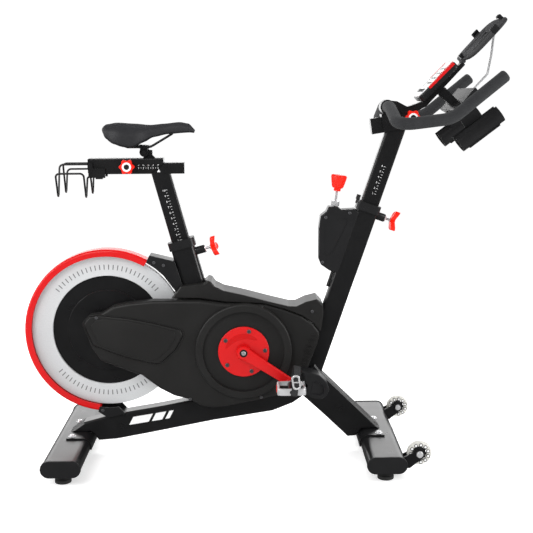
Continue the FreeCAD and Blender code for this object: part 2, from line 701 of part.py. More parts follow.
def crank_disc():
    disc = across_bar(CRANK_X, CRANK_Z, DISC_RADIUS, -DISC_Y - DISC_THICK, -DISC_Y)
    disc = soften(disc, 1.5, [-DISC_Y - DISC_THICK])
    return disc.cut(across_bar(CRANK_X, CRANK_Z, 21.0, -100, -70))


def disc_screw(index):
    turn = radians(3.0 + index * 72.0)
    point = V(CRANK_X + DISC_SCREW_RADIUS * cos(turn), -DISC_Y - DISC_THICK,
              CRANK_Z + DISC_SCREW_RADIUS * sin(turn))
    head = Part.makeCylinder(6.5, 2.6)
    head = head.makeFillet(1.2, [head.Edges[0]])
    head = head.cut(Part.makeCylinder(2.6, 3.0, V(0, 0, 1.4)))
    return set_on(head, point, V(0, -1, 0))


def drive_pulley():
    low = BELT_Y - BELT_WIDE / 2 - 1
    high = BELT_Y + BELT_WIDE / 2 + 1
    rim = across_ring(CRANK_X, CRANK_Z, PULLEY_RADIUS, PULLEY_RADIUS - 10, low, high)
    web = across_bar(CRANK_X, CRANK_Z, PULLEY_RADIUS - 8, BELT_Y - 3, BELT_Y + 3)
    windows = []
    for step in range(6):
        turn = step * pi / 3
        windows.append(across_bar(CRANK_X + 66 * cos(turn), CRANK_Z + 66 * sin(turn), 24.0,
                                  low, high))
    hub = across_bar(CRANK_X, CRANK_Z, 22.0, low, high)
    bore = across_bar(CRANK_X, CRANK_Z, SPINDLE_RADIUS, low - 1, high + 1)
    return fuse([rim, cut(web, windows), hub]).cut(bore)


def belt_outline(growth):
    """The closed belt line about both pulleys, some distance outside their rims."""
    big = PULLEY_RADIUS + growth
    small = SMALL_PULLEY_RADIUS + growth
    line = atan2(CRANK_Z - WHEEL_CENTRE_Z, CRANK_X - WHEEL_CENTRE_X)
    spread = asin((big - small) / hypot(CRANK_X - WHEEL_CENTRE_X, CRANK_Z - WHEEL_CENTRE_Z))
    y = BELT_Y - BELT_WIDE / 2

    def on(x, z, radius, turn):
        return V(x + radius * cos(turn), y, z + radius * sin(turn))

    up = line + pi / 2 + spread
    down = line - pi / 2 - spread
    wheel_up = on(WHEEL_CENTRE_X, WHEEL_CENTRE_Z, small, up)
    wheel_down = on(WHEEL_CENTRE_X, WHEEL_CENTRE_Z, small, down)
    crank_up = on(CRANK_X, CRANK_Z, big, up)
    crank_down = on(CRANK_X, CRANK_Z, big, down)
    edges = [Part.makeLine(wheel_up, crank_up),
             Part.Arc(crank_up, on(CRANK_X, CRANK_Z, big, line), crank_down).toShape(),
             Part.makeLine(crank_down, wheel_down),
             Part.Arc(wheel_down, on(WHEEL_CENTRE_X, WHEEL_CENTRE_Z, small, line + pi),
                      wheel_up).toShape()]
    return Part.Face(Part.Wire(edges))


def make_drive():
    arm = crank_arm()
    disc = crank_disc()
    nodes["right_crank"] = [arm]
    nodes["left_crank"] = [turned_half(mirrored(arm))]
    nodes["crank_discs"] = [disc, mirrored(disc)]
    screws = [disc_screw(index) for index in range(5)]
    nodes["disc_screws"] = screws + [mirrored(screw) for screw in screws]
    nodes["drive_pulley"] = [drive_pulley()]
    band = belt_outline(BELT_PLAY + BELT_THICK).cut(belt_outline(BELT_PLAY))
    nodes["drive_belt"] = [band.extrude(V(0, BELT_WIDE, 0))]

    spindle = across_bar(CRANK_X, CRANK_Z, SPINDLE_RADIUS, -ARM_Y - 9, ARM_Y + 9)
    eye = crank_point()
    far_end = PEDAL_Y + PEDAL_WIDE / 2 - 6
    pedal_pin = across_bar(eye.x, eye.z, PEDAL_PIN_RADIUS, -far_end, -ARM_Y - 2)
    collar = across_bar(eye.x, eye.z, 9.0, -ARM_Y - ARM_THICK - 4, -ARM_Y - ARM_THICK)
    pedal_pin = fuse([pedal_pin, collar])
    nodes["spindles"] = [spindle, pedal_pin, turned_half(mirrored(pedal_pin))]

    bearings = []
    for side in (-1, 1):
        low = min(side * 22.0, side * 34.0)
        bearings.append(across_ring(CRANK_X, CRANK_Z, 21.0, SPINDLE_RADIUS + RUNNING_PLAY,
                                    low, low + 12))
        low = min(side * 44.0, side * 56.0)
        bearings.append(across_ring(WHEEL_CENTRE_X, WHEEL_CENTRE_Z, 17.5, AXLE_RADIUS,
                                    low, low + 12))
    nodes["bearings"] = bearings


def pedal(y):
    """A cage pedal about its pin, level, centred on the origin in the side view."""
    half_long = PEDAL_LONG / 2
    half_wide = PEDAL_WIDE / 2
    half_high = PEDAL_HIGH / 2
    cage = prism([(-half_long, -half_high), (half_long, -half_high), (half_long, half_high),
                  (-half_long, half_high)], 5.0, y - half_wide, y + half_wide)
    windows = []
    for side in (-1, 1):
        low = min(side * 15.0, side * (half_long - 6))
        windows.append(block(low, low + half_long - 21, y - half_wide + 8, y + half_wide - 8,
                             -20, 20))
    waist = block(-15, 15, y - half_wide + 8, y + half_wide - 8, -20, 20)
    barrel = across_bar(0, 0, 11.0, y - half_wide, y + half_wide)
    barrel = barrel.cut(block(-20, 20, y - half_wide - 1, y + half_wide + 1, half_high, 20))
    body = fuse([cut(cage, windows + [waist]), barrel])
    inner = y - half_wide if y > 0 else y + half_wide
    outer_end = y + half_wide if y > 0 else y - half_wide
    low = min(inner, outer_end) + (6 - RUNNING_PLAY - 0.5 if y < 0 else -1)
    bore = across_bar(0, 0, PEDAL_PIN_RADIUS + RUNNING_PLAY, low, low + PEDAL_WIDE - 4.5)
    return body.cut(bore)


def toe_cage(y):
    """The toe hood bolted to a pedal's front, and its strap over the foot."""
    outline = [(46, 10), (46, -11), (82, -27), (100, -26), (114, 0), (106, 27), (84, 45), (30, 60),
               (29, 57), (82, 42), (103, 25), (110, 0), (98, -22), (82, -23), (49, -9), (49, 10)]
    hood = prism(outline, 0, y - 34, y + 34)
    windows = [block(60, 130, y + low, y + low + 14, -40, 34) for low in (-24, 10)]
    hood = cut(hood, windows)
    half = PEDAL_WIDE / 2 + 2.5
    arch = []
    for reach, drop in ((half + 2.5, 0.0), (half, 2.5)):
        top = 74.0 - drop
        arch.append([V(0, y - reach, STRAP_FOOT), V(0, y - reach, 34), V(0, y - 24, top),
                     V(0, y + 24, top), V(0, y + reach, 34), V(0, y + reach, STRAP_FOOT)])
    outer, inner = [Part.Face(Part.makePolygon(line + line[:1])) for line in arch]
    strap = outer.cut(inner).extrude(V(20, 0, 0))
    strap.translate(V(-6, 0, 0))
    return [hood, strap]


def make_pedals():
    right = crank_point()
    left = CRANK * 2 - right
    for side, y, place in (("right", -PEDAL_Y, right), ("left", PEDAL_Y, left)):
        body = pedal(y)
        parts = toe_cage(y)
        for shape in [body] + parts:
            shape.translate(place)
        nodes["%s_pedal" % side] = [body]
        nodes["%s_toe_cage" % side] = parts


# ---- flywheel and guard -------------------------------------------------------------------

def make_flywheel():
    x = WHEEL_CENTRE_X
    z = WHEEL_CENTRE_Z
    half = FLYWHEEL_THICK / 2
    rim = across_ring(x, z, FLYWHEEL_RADIUS, FLYWHEEL_BAND, -half, half)
    rim = soften(rim, 1.5, [-half, half], chamfer=True)
    nodes["flywheel_rim"] = [rim]
    disc = across_bar(x, z, FLYWHEEL_BAND, -half + 6, half - 6)
    raised = across_bar(x, z, FLYWHEEL_STEP, -half + 3, half - 3)
    raised = soften(raised, 2.0, [-half + 3, half - 3], chamfer=True)
    disc = fuse([disc, raised])
    nodes["flywheel_disc"] = [disc.cut(across_bar(x, z, HUB_RADIUS, -half - 1, half + 1))]

    hub = across_bar(x, z, HUB_RADIUS, -HUB_LONG / 2, HUB_LONG / 2)
    low = BELT_Y - BELT_WIDE / 2 - 1
    high = BELT_Y + BELT_WIDE / 2 + 1
    pulley = across_bar(x, z, SMALL_PULLEY_RADIUS, low, high)
    bore = across_bar(x, z, 17.5 + RUNNING_PLAY, -HUB_LONG, HUB_LONG)
    nodes["flywheel_hub"] = [fuse([hub, pulley]).cut(bore)]

    end = STAY_Y + STAY_THICK
    axle = across_bar(x, z, AXLE_RADIUS, -end - 5, end + 5)
    nuts = [across_ring(x, z, 13.0, AXLE_RADIUS, low, low + 4.5) for low in (-end - 4.5, end)]
    nodes["flywheel_axle"] = [axle] + nuts


def make_guard():
    """The hoop over the flywheel, a channel that is open towards the hub."""
    half = GUARD_HALF_WIDTH
    wall = GUARD_WALL
    section = [(GUARD_LIP, -half), (GUARD_RADIUS, -half), (GUARD_RADIUS, half), (GUARD_LIP, half),
               (GUARD_LIP, half - wall), (GUARD_RADIUS - wall, half - wall),
               (GUARD_RADIUS - wall, -half + wall), (GUARD_LIP, -half + wall)]
    start = radians(GUARD_START)
    outward = V(cos(start), 0, sin(start))
    points = [HUB + outward * radius + ACROSS * y for radius, y in section]
    face = Part.Face(rounded_wire(points, [1.5, 9, 9, 1.5, 0, 5, 5, 0]))
    nodes["flywheel_guard"] = [face.revolve(HUB, V(0, -1, 0), GUARD_END - GUARD_START)]

    upper = [(-352, 634), (-341, 657), (-262, 637), (-238, 560), (-259, 538), (-299, 593),
             (-325, 616)]
    lower = [(-511, 176), (-517, 151), (-486, 130), (-429, 143), (-450, 166), (-462, 172)]
    clear = across_bar(WHEEL_CENTRE_X, WHEEL_CENTRE_Z, FLYWHEEL_RADIUS + 6, -40, 40)
    seat = SEAT.bar(500, SEAT_TUBE_TOP, SEAT_TUBE_DEEP + 0.2, SEAT_TUBE_WIDE + 0.2, 20.0)
    hoop = nodes["flywheel_guard"]
    brackets = []
    for outline, hollow_shift in ((upper, V(-5, 0, -6)), (lower, V(0, 0, 6))):
        outer = soften(prism(outline, 2.0, -half - 1, half + 1), 2.0, [-half - 1, half + 1])
        inner = prism(outline, 2.0, -half + 3, half - 3)
        inner.translate(hollow_shift)
        brackets.append(cut(outer, [inner, clear, seat] + hoop + nodes["lower_beam"]))
    nodes["guard_brackets"] = brackets


# ---- covers -------------------------------------------------------------------------------

COVER_TOP = [(-551, 452), (-528, 476), (-492, 480), (-452, 504), (-404, 513), (-328, 520),
             (-182, 519), (-105, 508), (15, 502)]
COVER_BOTTOM = [(58, 211), (17, 201), (-104, 177), (-149, 173), (-185, 180), (-221, 201),
                (-269, 214), (-313, 238), (-370, 282), (-430, 303), (-497, 331), (-524, 370)]
COVER_NOSE = [(0, 502), (15, 502), (82, 483), (135, 462), (171, 437), (189, 413), (191, 399),
              (183, 370), (156, 300), (147, 286), (104, 252), (58, 211), (0, 205)]
HATCH_OUTLINE = [(-545, 450), (-524, 473), (-495, 476), (-408, 466), (-329, 450), (-244, 427),
                 (-238, 410), (-262, 366), (-308, 324), (-324, 320), (-412, 341), (-471, 363),
                 (-517, 382)]
TOP_COVER_OUTLINE = [(-272, 524), (-254, 546), (-243, 561), (-170, 569), (-158, 579), (-147, 575),
                     (-136, 560), (-110, 547), (-45, 532), (39, 509), (95, 495), (119, 494),
                     (148, 508), (184, 517), (203, 497), (204, 470), (196, 415), (190, 415),
                     (172, 439), (136, 464), (83, 485), (15, 504), (-105, 510), (-182, 522)]


def panel_prism(outline, corner, face_y, edge):
    """A moulded panel: its outline from the inner edge out to a softened near face."""
    return soften(prism(outline, corner, -face_y, -COVER_INNER_Y), edge, [-face_y])


def inset_prism(outline, corner, face_y):
    face = Part.Face(rounded_wire(flat(outline, -face_y + COVER_WALL), corner))
    return face.makeOffset2D(-COVER_WALL).extrude(V(0, face_y - COVER_WALL - COVER_INNER_Y + 1, 0))


def right_side_cover():
    main = COVER_TOP + COVER_BOTTOM
    drum = across_bar(CRANK_X, CRANK_Z, DRUM_RADIUS, -DRUM_Y, -COVER_INNER_Y)
    drum = soften(drum, 5.0, [-DRUM_Y])
    outside = [panel_prism(main, 6.0, COVER_FACE_Y, 9.0), drum,
               panel_prism(COVER_NOSE, 5.0, COVER_NOSE_Y, 6.0)]
    wall = COVER_WALL
    inside = [inset_prism(main, 6.0, COVER_FACE_Y),
              across_bar(CRANK_X, CRANK_Z, DRUM_RADIUS - wall, -RECESS_Y + wall,
                         -COVER_INNER_Y + 1),
              across_ring(CRANK_X, CRANK_Z, DRUM_RADIUS - wall - 2, RECESS_RADIUS + wall,
                          -DRUM_Y + wall, -RECESS_Y + wall + 1),
              inset_prism(COVER_NOSE, 5.0, COVER_NOSE_Y)]
    recess = across_bar(CRANK_X, CRANK_Z, RECESS_RADIUS, -DRUM_Y - 1, -RECESS_Y)
    crank_hole = across_bar(CRANK_X, CRANK_Z, 24.0, -DRUM_Y - 1, -COVER_INNER_Y)
    vents = []
    for step in range(3):
        x = 152 + 6 * step
        z = 352 + 18 * step
        vents.append(prism([(x - 14, z - 3), (x + 8, z - 9), (x + 10, z - 2), (x - 12, z + 4)], 1.5,
                           -COVER_NOSE_Y - 1, -COVER_NOSE_Y + 1.6))
    return cut(fuse(outside), inside + [recess, crank_hole] + vents)


def make_covers():
    cover = right_side_cover()
    nodes["right_side_cover"] = [cover]
    nodes["left_side_cover"] = [mirrored(cover)]
    hatch = prism(HATCH_OUTLINE, 9.0, -COVER_FACE_Y - HATCH_PROUD, -COVER_FACE_Y)
    hatch = soften(hatch, 4.0, [-COVER_FACE_Y - HATCH_PROUD])
    nodes["hatch_panels"] = [hatch, mirrored(hatch)]

    half = TOP_COVER_HALF
    top = soften(prism(TOP_COVER_OUTLINE, 0, -half, half), 3.0, [-half, half], chamfer=True)
    hollow = prism(TOP_COVER_OUTLINE, 0, -half + COVER_WALL + 1, half - COVER_WALL - 1)
    hollow.translate(V(0, 0, -COVER_WALL))
    tubes = [SEAT.bar(450, 640, SEAT_TUBE_DEEP + 1.6, SEAT_TUBE_WIDE + 1.6, 20.0),
             HEAD.bar(350, 640, HEAD_TUBE_DEEP + 1.6, HEAD_TUBE_WIDE + 1.6, 8.0)]
    cable = cylinder(HEAD.at(480) - HEAD.ahead * (HEAD_TUBE_DEEP / 2 + 5.2), HEAD.along, 5.6, 80.0)
    wheel = across_bar(WHEEL_CENTRE_X, WHEEL_CENTRE_Z, FLYWHEEL_RADIUS + 4, -30, 30)
    sides = [panel_prism(COVER_TOP + COVER_BOTTOM, 6.0, COVER_FACE_Y, 9.0),
             panel_prism(COVER_NOSE, 5.0, COVER_NOSE_Y, 6.0),
             across_bar(CRANK_X, CRANK_Z, DRUM_RADIUS + 0.2, -DRUM_Y, -COVER_INNER_Y)]
    sides += [mirrored(side) for side in sides]
    top = cut(top, [hollow, cable, wheel] + tubes + sides + nodes["guard_brackets"]
              + nodes["frame_spine"][:1])
    nodes["top_cover"] = [max(top.Solids, key=lambda solid: solid.Volume)]


def side_screw(x, z, y):
    """A small dark screw, its head standing on the right side at a distance across."""
    head = Part.makeCylinder(5.0, 2.2)
    head = head.makeFillet(1.0, [head.Edges[0]])
    head = head.cut(Part.makeCylinder(2.0, 3.0, V(0, 0, 1.0)))
    return set_on(head, V(x, y, z), V(0, -1, 0))


def make_cover_screws():
    cover_places = [(-219, 203, -COVER_FACE_Y), (6, 207, -COVER_FACE_Y),
                    (-545 + 40, 470, -COVER_FACE_Y - HATCH_PROUD),
                    (169, 478, -TOP_COVER_HALF),
                    (-327, 634, -GUARD_HALF_WIDTH - 1), (-297, 625, -GUARD_HALF_WIDTH - 1),
                    (-502, 156, -GUARD_HALF_WIDTH - 1),
                    (213, 771, -LEVER_HALF_WIDTH), (288, 784, -LEVER_HALF_WIDTH),
                    (203, 629, -LEVER_HALF_WIDTH)]
    screws = [side_screw(x, z, y) for x, z, y in cover_places]
    nodes["cover_screws"] = screws + [mirrored(screw) for screw in screws]


# ---- seat ---------------------------------------------------------------------------------

def side_knob(x, z, inner_y, wall_y):
    """A six-lobed clamping knob on the right side, with its screw towards the rail."""
    face = -wall_y - 12.0
    pieces = [across_bar(x, z, 19.0, face - 20, face)]
    for step in range(6):
        turn = radians(60 * step + 30)
        pieces.append(across_bar(x + 17.5 * cos(turn), z + 17.5 * sin(turn), 7.5, face - 20, face))
    body = fuse(pieces)
    boss = across_bar(x, z, 12.0, face - 1, -wall_y - 1.5)
    screw = across_bar(x, z, PIN_RADIUS, face - 2, -inner_y - 0.6)
    hollow = across_bar(x, z, 12.0, face - 21, face - 18)
    return fuse([body.cut(hollow), boss, screw])


def slide_channel(low, high, bottom, top, bore_high):
    """An inverted channel that slides on a rail, built level from one end to the other."""
    half = RAIL_WIDE / 2 + SLIDE_PLAY
    outer = half + CARRIAGE_WALL
    body = block(low, high, -outer, outer, bottom, top)
    edges = [edge for edge in body.Edges if edge.BoundBox.XLength > 50 and edge.BoundBox.ZMin > top - 1]
    body = body.makeFillet(4.0, edges)
    return body.cut(block(low - 1, high + 1, -half, half, bottom - 1, bore_high))


def saddle_section(x, half_width, top, bottom):
    """One oval cross-section of the saddle's cushion."""
    centre = V(x, 0, (top + bottom) / 2)
    half_high = (top - bottom) / 2
    wide = half_width >= half_high
    ellipse = Part.Ellipse(centre, max(half_width, half_high), min(half_width, half_high))
    ellipse.Axis = V(1, 0, 0)
    ellipse.XAxis = ACROSS if wide else UP
    return Part.Wire(ellipse.toShape())


def make_seat():
    half = RAIL_WIDE / 2
    post = SEAT.bar(560, 925, POST_DEEP, POST_WIDE, 8.0)
    hollow = SEAT.bar(550, 915, POST_DEEP - 2 * POST_WALL, POST_WIDE - 2 * POST_WALL, 6.0)
    rail = block(SEAT_RAIL_REAR, SEAT_RAIL_FRONT, -half, half, SEAT_RAIL_BOTTOM,
                 SEAT_RAIL_BOTTOM + SEAT_RAIL_HIGH)
    rail = rail.makeFillet(3.0, [edge for edge in rail.Edges if edge.BoundBox.XLength > 50])
    rail_hollow = block(SEAT_RAIL_REAR - 1, SEAT_RAIL_FRONT - 5, -half + 3, half - 3,
                        SEAT_RAIL_BOTTOM + 3, SEAT_RAIL_BOTTOM + SEAT_RAIL_HIGH - 3)
    nodes["seat_post"] = [fuse([post.cut(hollow), rail]).cut(rail_hollow)]

    bore_top = SEAT_RAIL_BOTTOM + SEAT_RAIL_HIGH + SLIDE_PLAY
    channel = slide_channel(SEAT_CARRIAGE_REAR, SEAT_CARRIAGE_FRONT, SEAT_RAIL_BOTTOM + 1,
                            SEAT_CARRIAGE_TOP, bore_top)
    nose = prism([(SEAT_CARRIAGE_FRONT + 1, SEAT_RAIL_BOTTOM), (SEAT_CARRIAGE_FRONT + 1, 945),
                  (SEAT_CARRIAGE_FRONT - 45, SEAT_RAIL_BOTTOM)], 0, -40, 40)
    stem = Part.makeCylinder(11.0, 26.0, V(SADDLE_PIVOT_X + 14, 0, SEAT_CARRIAGE_TOP - 2))
    flare = Part.makeCone(22.0, 12.0, 10.0, V(SADDLE_PIVOT_X + 14, 0, SEAT_CARRIAGE_TOP - 2))
    arm = prism([(SADDLE_PIVOT_X, SADDLE_PIVOT_Z - 9), (SADDLE_PIVOT_X + 25, 958),
                 (SADDLE_PIVOT_X + 25, 984), (SADDLE_PIVOT_X, SADDLE_PIVOT_Z + 9)], 0, -9, 9)
    boss = across_bar(SADDLE_PIVOT_X, SADDLE_PIVOT_Z, 11.0, -14, 14)
    pivot = across_bar(SADDLE_PIVOT_X, SADDLE_PIVOT_Z, PIN_RADIUS + RUNNING_PLAY, -20, 20)
    knob_hole = across_bar(SEAT_KNOB_X, SEAT_KNOB_Z, PIN_RADIUS + RUNNING_PLAY, -40, 0)
    end = block(SEAT_CARRIAGE_REAR - 2, SEAT_CARRIAGE_REAR + 4, -half - 6, half + 6, 916, 958)
    end = end.cut(block(SEAT_CARRIAGE_REAR - 3, SEAT_CARRIAGE_REAR + 5, -half - SLIDE_PLAY,
                        half + SLIDE_PLAY, 900, bore_top))
    carriage = fuse([cut(channel, [nose]), flare, stem, arm, boss, end])
    nodes["seat_carriage"] = [cut(carriage, [pivot, knob_hole])]
    nodes["seat_knob"] = [side_knob(SEAT_KNOB_X, SEAT_KNOB_Z, half, half + CARRIAGE_WALL)]


def make_saddle():
    stations = [(-478, 40, 1046, 1030), (-470, 62, 1056, 1016), (-450, 76, 1068, 1004),
                (-420, 79, 1070, 1000), (-385, 66, 1066, 1004), (-345, 44, 1062, 1020),
                (-300, 28, 1062, 1030), (-250, 22, 1068, 1036), (-210, 20, 1062, 1036),
                (-192, 12, 1044, 1034)]
    wires = [saddle_section(*station) for station in stations]
    cushion = Part.makeLoft(wires, True, True)
    rails = []
    for side in (-1, 1):
        y = side * 22.0
        route = [V(-425, y, 1004), V(-400, y, 994), V(-330, y, 994), V(-296, side * 16.0, 1014),
                 V(-262, side * 10.0, 1034)]
        rails.append(rod(route, [0, 12, 20, 20, 0], 3.5))
    clamp = []
    for side in (-1, 1):
        low = min(side * 14.4, side * 19.4)
        cheek = across_bar(SADDLE_PIVOT_X, SADDLE_PIVOT_Z, 14.0, low, low + 5)
        riser = block(SADDLE_PIVOT_X - 12, SADDLE_PIVOT_X + 12, low, low + 5, SADDLE_PIVOT_Z, 992)
        clamp += [cheek, riser]
    cradle = block(SADDLE_PIVOT_X - 18, SADDLE_PIVOT_X + 18, -27, 27, 990.5, 1000)
    cradle = cradle.makeFillet(3.0, [edge for edge in cradle.Edges if edge.BoundBox.YLength > 50])
    bolt = across_bar(SADDLE_PIVOT_X, SADDLE_PIVOT_Z, PIN_RADIUS, -24, 24)
    heads = [across_bar(SADDLE_PIVOT_X, SADDLE_PIVOT_Z, 7.0, low, low + 5) for low in (-24, 19)]
    clamp = fuse(clamp + [cradle, bolt] + heads)
    for wire in rails:
        clamp = clamp.cut(wire)
        cushion = cushion.cut(wire)
    nodes["saddle"] = [cushion]
    nodes["saddle_clamp"] = [clamp] + rails


def rack_wire(side):
    """One cradle of the dumbbell rack, bent from a single wire."""
    inner = side * RACK_INNER_Y
    outer = side * RACK_OUTER_Y
    middle = (inner + outer) / 2
    route = [V(-519, inner, 943), V(RACK_REAR_X, inner, 943), V(RACK_REAR_X, middle, 836),
             V(RACK_REAR_X, outer, 920), V(RACK_FRONT_X, outer, 920), V(RACK_FRONT_X, middle, 836),
             V(RACK_FRONT_X, inner, 905), V(-470, inner, 905)]
    return rod(route, [0, 12, 8, 12, 12, 8, 8, 0], RACK_WIRE)


def make_rack():
    wires = [rack_wire(side) for side in (-1, 1)]
    lugs = []
    for side in (-1, 1):
        low = min(side * 25.8, side * 32.0)
        lugs.append(block(-522, -470, low, low + 6.2, 901, 930))
        lugs.append(block(-524, -508, low, low + 6.2, 928, 948))
    tie = block(-500, -478, -32, 32, 897, 902)
    nodes["dumbbell_rack"] = [cut(fuse(wires + lugs + [tie]), nodes["seat_carriage"])]


# ---- handlebar ----------------------------------------------------------------------------

def tilted(shape, x, z, angle):
    """Tip a piece, built level from a point, up at its front end."""
    moved = shape.copy()
    moved.rotate(V(x, 0, z), ACROSS, -angle)
    return moved


def slope_point(x, z, angle, forward, up):
    """A point some distance along and square to a slope."""
    turn = radians(angle)
    return (x + forward * cos(turn) - up * sin(turn), z + forward * sin(turn) + up * cos(turn))


def make_bar_post():
    half = RAIL_WIDE / 2
    post = HEAD.bar(640, 1050, POST_DEEP, POST_WIDE, 8.0)
    hollow = HEAD.bar(630, 1036, POST_DEEP - 2 * POST_WALL, POST_WIDE - 2 * POST_WALL, 6.0)
    rail = block(BAR_RAIL_X, BAR_RAIL_X + BAR_RAIL_LONG, -half, half, BAR_RAIL_Z,
                 BAR_RAIL_Z + BAR_RAIL_HIGH)
    rail = rail.makeFillet(3.0, [edge for edge in rail.Edges if edge.BoundBox.XLength > 50])
    cavity = block(BAR_RAIL_X + 5, BAR_RAIL_X + BAR_RAIL_LONG + 1, -half + 3, half - 3,
                   BAR_RAIL_Z + 3, BAR_RAIL_Z + BAR_RAIL_HIGH - 3)
    rail = tilted(rail, BAR_RAIL_X, BAR_RAIL_Z, BAR_RAIL_TILT)
    cavity = tilted(cavity, BAR_RAIL_X, BAR_RAIL_Z, BAR_RAIL_TILT)
    nodes["bar_post"] = [fuse([post.cut(hollow), rail]).cut(cavity)]


def make_bar_carriage():
    half = RAIL_WIDE / 2
    top = BAR_RAIL_Z + BAR_RAIL_HIGH
    channel = slide_channel(BAR_RAIL_X + 36, BAR_RAIL_X + 134, BAR_RAIL_Z + 2, top + 9,
                            top + SLIDE_PLAY)
    channel = tilted(channel, BAR_RAIL_X, BAR_RAIL_Z, BAR_RAIL_TILT)
    rail_space = block(BAR_RAIL_X - 60, BAR_RAIL_X + 260, -half - SLIDE_PLAY, half + SLIDE_PLAY,
                       BAR_RAIL_Z - 40, top + SLIDE_PLAY)
    rail_space = tilted(rail_space, BAR_RAIL_X, BAR_RAIL_Z, BAR_RAIL_TILT)
    clamp = soften(across_bar(CROSSBAR_X, CROSSBAR_Z, 22.0, -26, 26), 3.0, [-26, 26])
    neck = prism([(390, 1092), (398, 1132), (432, 1128), (470, 1108), (500, 1094), (480, 1080)],
                 [4, 10, 10, 6, 4, 4], -24, 24)
    arm = prism([(430, 1094), (450, 1106), (512, 1126), (632, 1246), (641, 1237), (524, 1112),
                 (478, 1088)], [2, 6, 8, 2, 2, 8, 4], -18, 18)
    grip_bore = across_bar(CROSSBAR_X, CROSSBAR_Z, BAR_RADIUS, -60, 60)
    knob_hole = across_bar(BAR_KNOB_X, BAR_KNOB_Z, PIN_RADIUS + RUNNING_PLAY, -40, 0)
    carriage = fuse([channel, clamp, neck, arm])
    nodes["bar_carriage"] = [cut(carriage, [rail_space, grip_bore, knob_hole])]
    nodes["bar_knob"] = [side_knob(BAR_KNOB_X, BAR_KNOB_Z, half, half + CARRIAGE_WALL)]


def make_handlebar():
    """One foam-covered tube: crossbar with a raised middle, side runs and rising horns."""
    right = [V(CROSSBAR_X, 0, CROSSBAR_Z), V(CROSSBAR_X, -75, CROSSBAR_Z),
             V(CROSSBAR_X + 2, -BAR_HALF_WIDTH, 1061), V(560, -BAR_HALF_WIDTH, 1079),
             V(714, -BAR_HALF_WIDTH, 1203)]
    bends = [0, 120, 46, 90, 0]
    run = rod(right, bends, BAR_RADIUS)
    tip = max(run.Faces, key=lambda face: face.CenterOfMass.x)
    run = run.makeFillet(9.0, tip.Edges)
    nodes["handlebar"] = [fuse([run, mirrored(run)])]


def make_holders():
    """Two open troughs for bottles on one bracket under the console arm."""
    low = slope_point(658, 1048, HOLDER_TILT, -HOLDER_LONG / 2, 0)
    axis = V(cos(radians(HOLDER_TILT)), 0, sin(radians(HOLDER_TILT)))
    start = V(low[0], -HOLDER_Y, low[1])
    wall = cylinder(start, axis, HOLDER_RADIUS, HOLDER_LONG)
    bore = cylinder(start - axis, axis, HOLDER_RADIUS - HOLDER_WALL, HOLDER_LONG + 2)
    slot = block(-30, HOLDER_LONG + 30, -HOLDER_SLOT / 2, HOLDER_SLOT / 2, 10, 60)
    slot.rotate(V(0, 0, 0), ACROSS, -HOLDER_TILT)
    slot.translate(start)
    trough = cut(wall, [bore, slot])
    pad = block(20, 130, -14, 14, -HOLDER_RADIUS - 2, -HOLDER_RADIUS + 3)
    pad.rotate(V(0, 0, 0), ACROSS, -HOLDER_TILT)
    pad.translate(start)
    pad = pad.cut(bore)
    strut = block(48, 104, 14, HOLDER_RADIUS - 1, 0, 58)
    strut.rotate(V(0, 0, 0), ACROSS, -HOLDER_TILT)
    strut.translate(start)
    side = fuse([trough, pad, strut.cut(bore)])
    bridge = prism([(592, 1100), (650, 1168), (664, 1152), (618, 1084)], 3.0,
                   -HOLDER_Y + HOLDER_RADIUS - 10, HOLDER_Y - HOLDER_RADIUS + 10)
    bores = [bore, mirrored(bore)]
    bridge = cut(bridge, bores + nodes["bar_carriage"])
    link = prism([(560, 1150), (580, 1170), (622, 1128), (606, 1108)], 2.0, -14, 14)
    link = cut(link, nodes["bar_carriage"])
    nodes["bottle_holders"] = [fuse([side, mirrored(side), bridge, link])]


def make_console():
    case = prism([(493, 1139), (500, 1130), (518, 1124), (624, 1231), (626, 1241), (600, 1242),
                  (515, 1164)], [4, 4, 6, 4, 3, 6, 5], -65, 65)
    case = soften(case, 3.0, [-65, 65])
    case = cut(case, nodes["bar_carriage"])
    slab = block(6, 140, -58, 58, 0.2, 3.0)
    slab.rotate(V(0, 0, 0), ACROSS, -42.6)
    slab.translate(V(497, 0, 1147))
    nodes["console"] = [case, slab.cut(case)]


def make_tray():
    """The tablet tray with its lip and side clips, and the strap that props it."""
    half = TRAY_HALF_WIDTH
    tray = block(0, TRAY_LONG, -half, half, -5, 5)
    tray = tray.makeFillet(62.0, [edge for edge in tray.Edges if edge.BoundBox.ZLength > 9])
    tray = tray.makeFillet(2.0, [edge for edge in tray.Edges if edge.BoundBox.ZLength < 0.01])
    corners = [V(74, -24, -10), V(74, 24, -10), V(112, 0, -10)]
    window = Part.Face(Part.makePolygon(corners + corners[:1])).extrude(V(0, 0, 20))
    window = window.makeFillet(6.0, [edge for edge in window.Edges if edge.BoundBox.ZLength > 9])
    lip = block(2, 8, -52, 52, 3, 22)
    clips = [block(150, 162, y - 12, y + 12, 3, 16) for y in (-46, 46)]
    body = fuse([tray.cut(window), lip] + clips)
    body.rotate(V(0, 0, 0), ACROSS, -TRAY_TILT)
    body.translate(V(636, 0, 1245))
    prop = prism([(716, 1306), (718, 1304), (724, 1262), (714, 1208), (670, 1160), (667, 1162),
                  (711, 1209), (720, 1262), (713, 1300)], 0, -8, 8)
    prop = cut(prop, [body] + nodes["bottle_holders"])
    nodes["tablet_tray"] = [body, prop]


# ---- build and write ----------------------------------------------------------------------

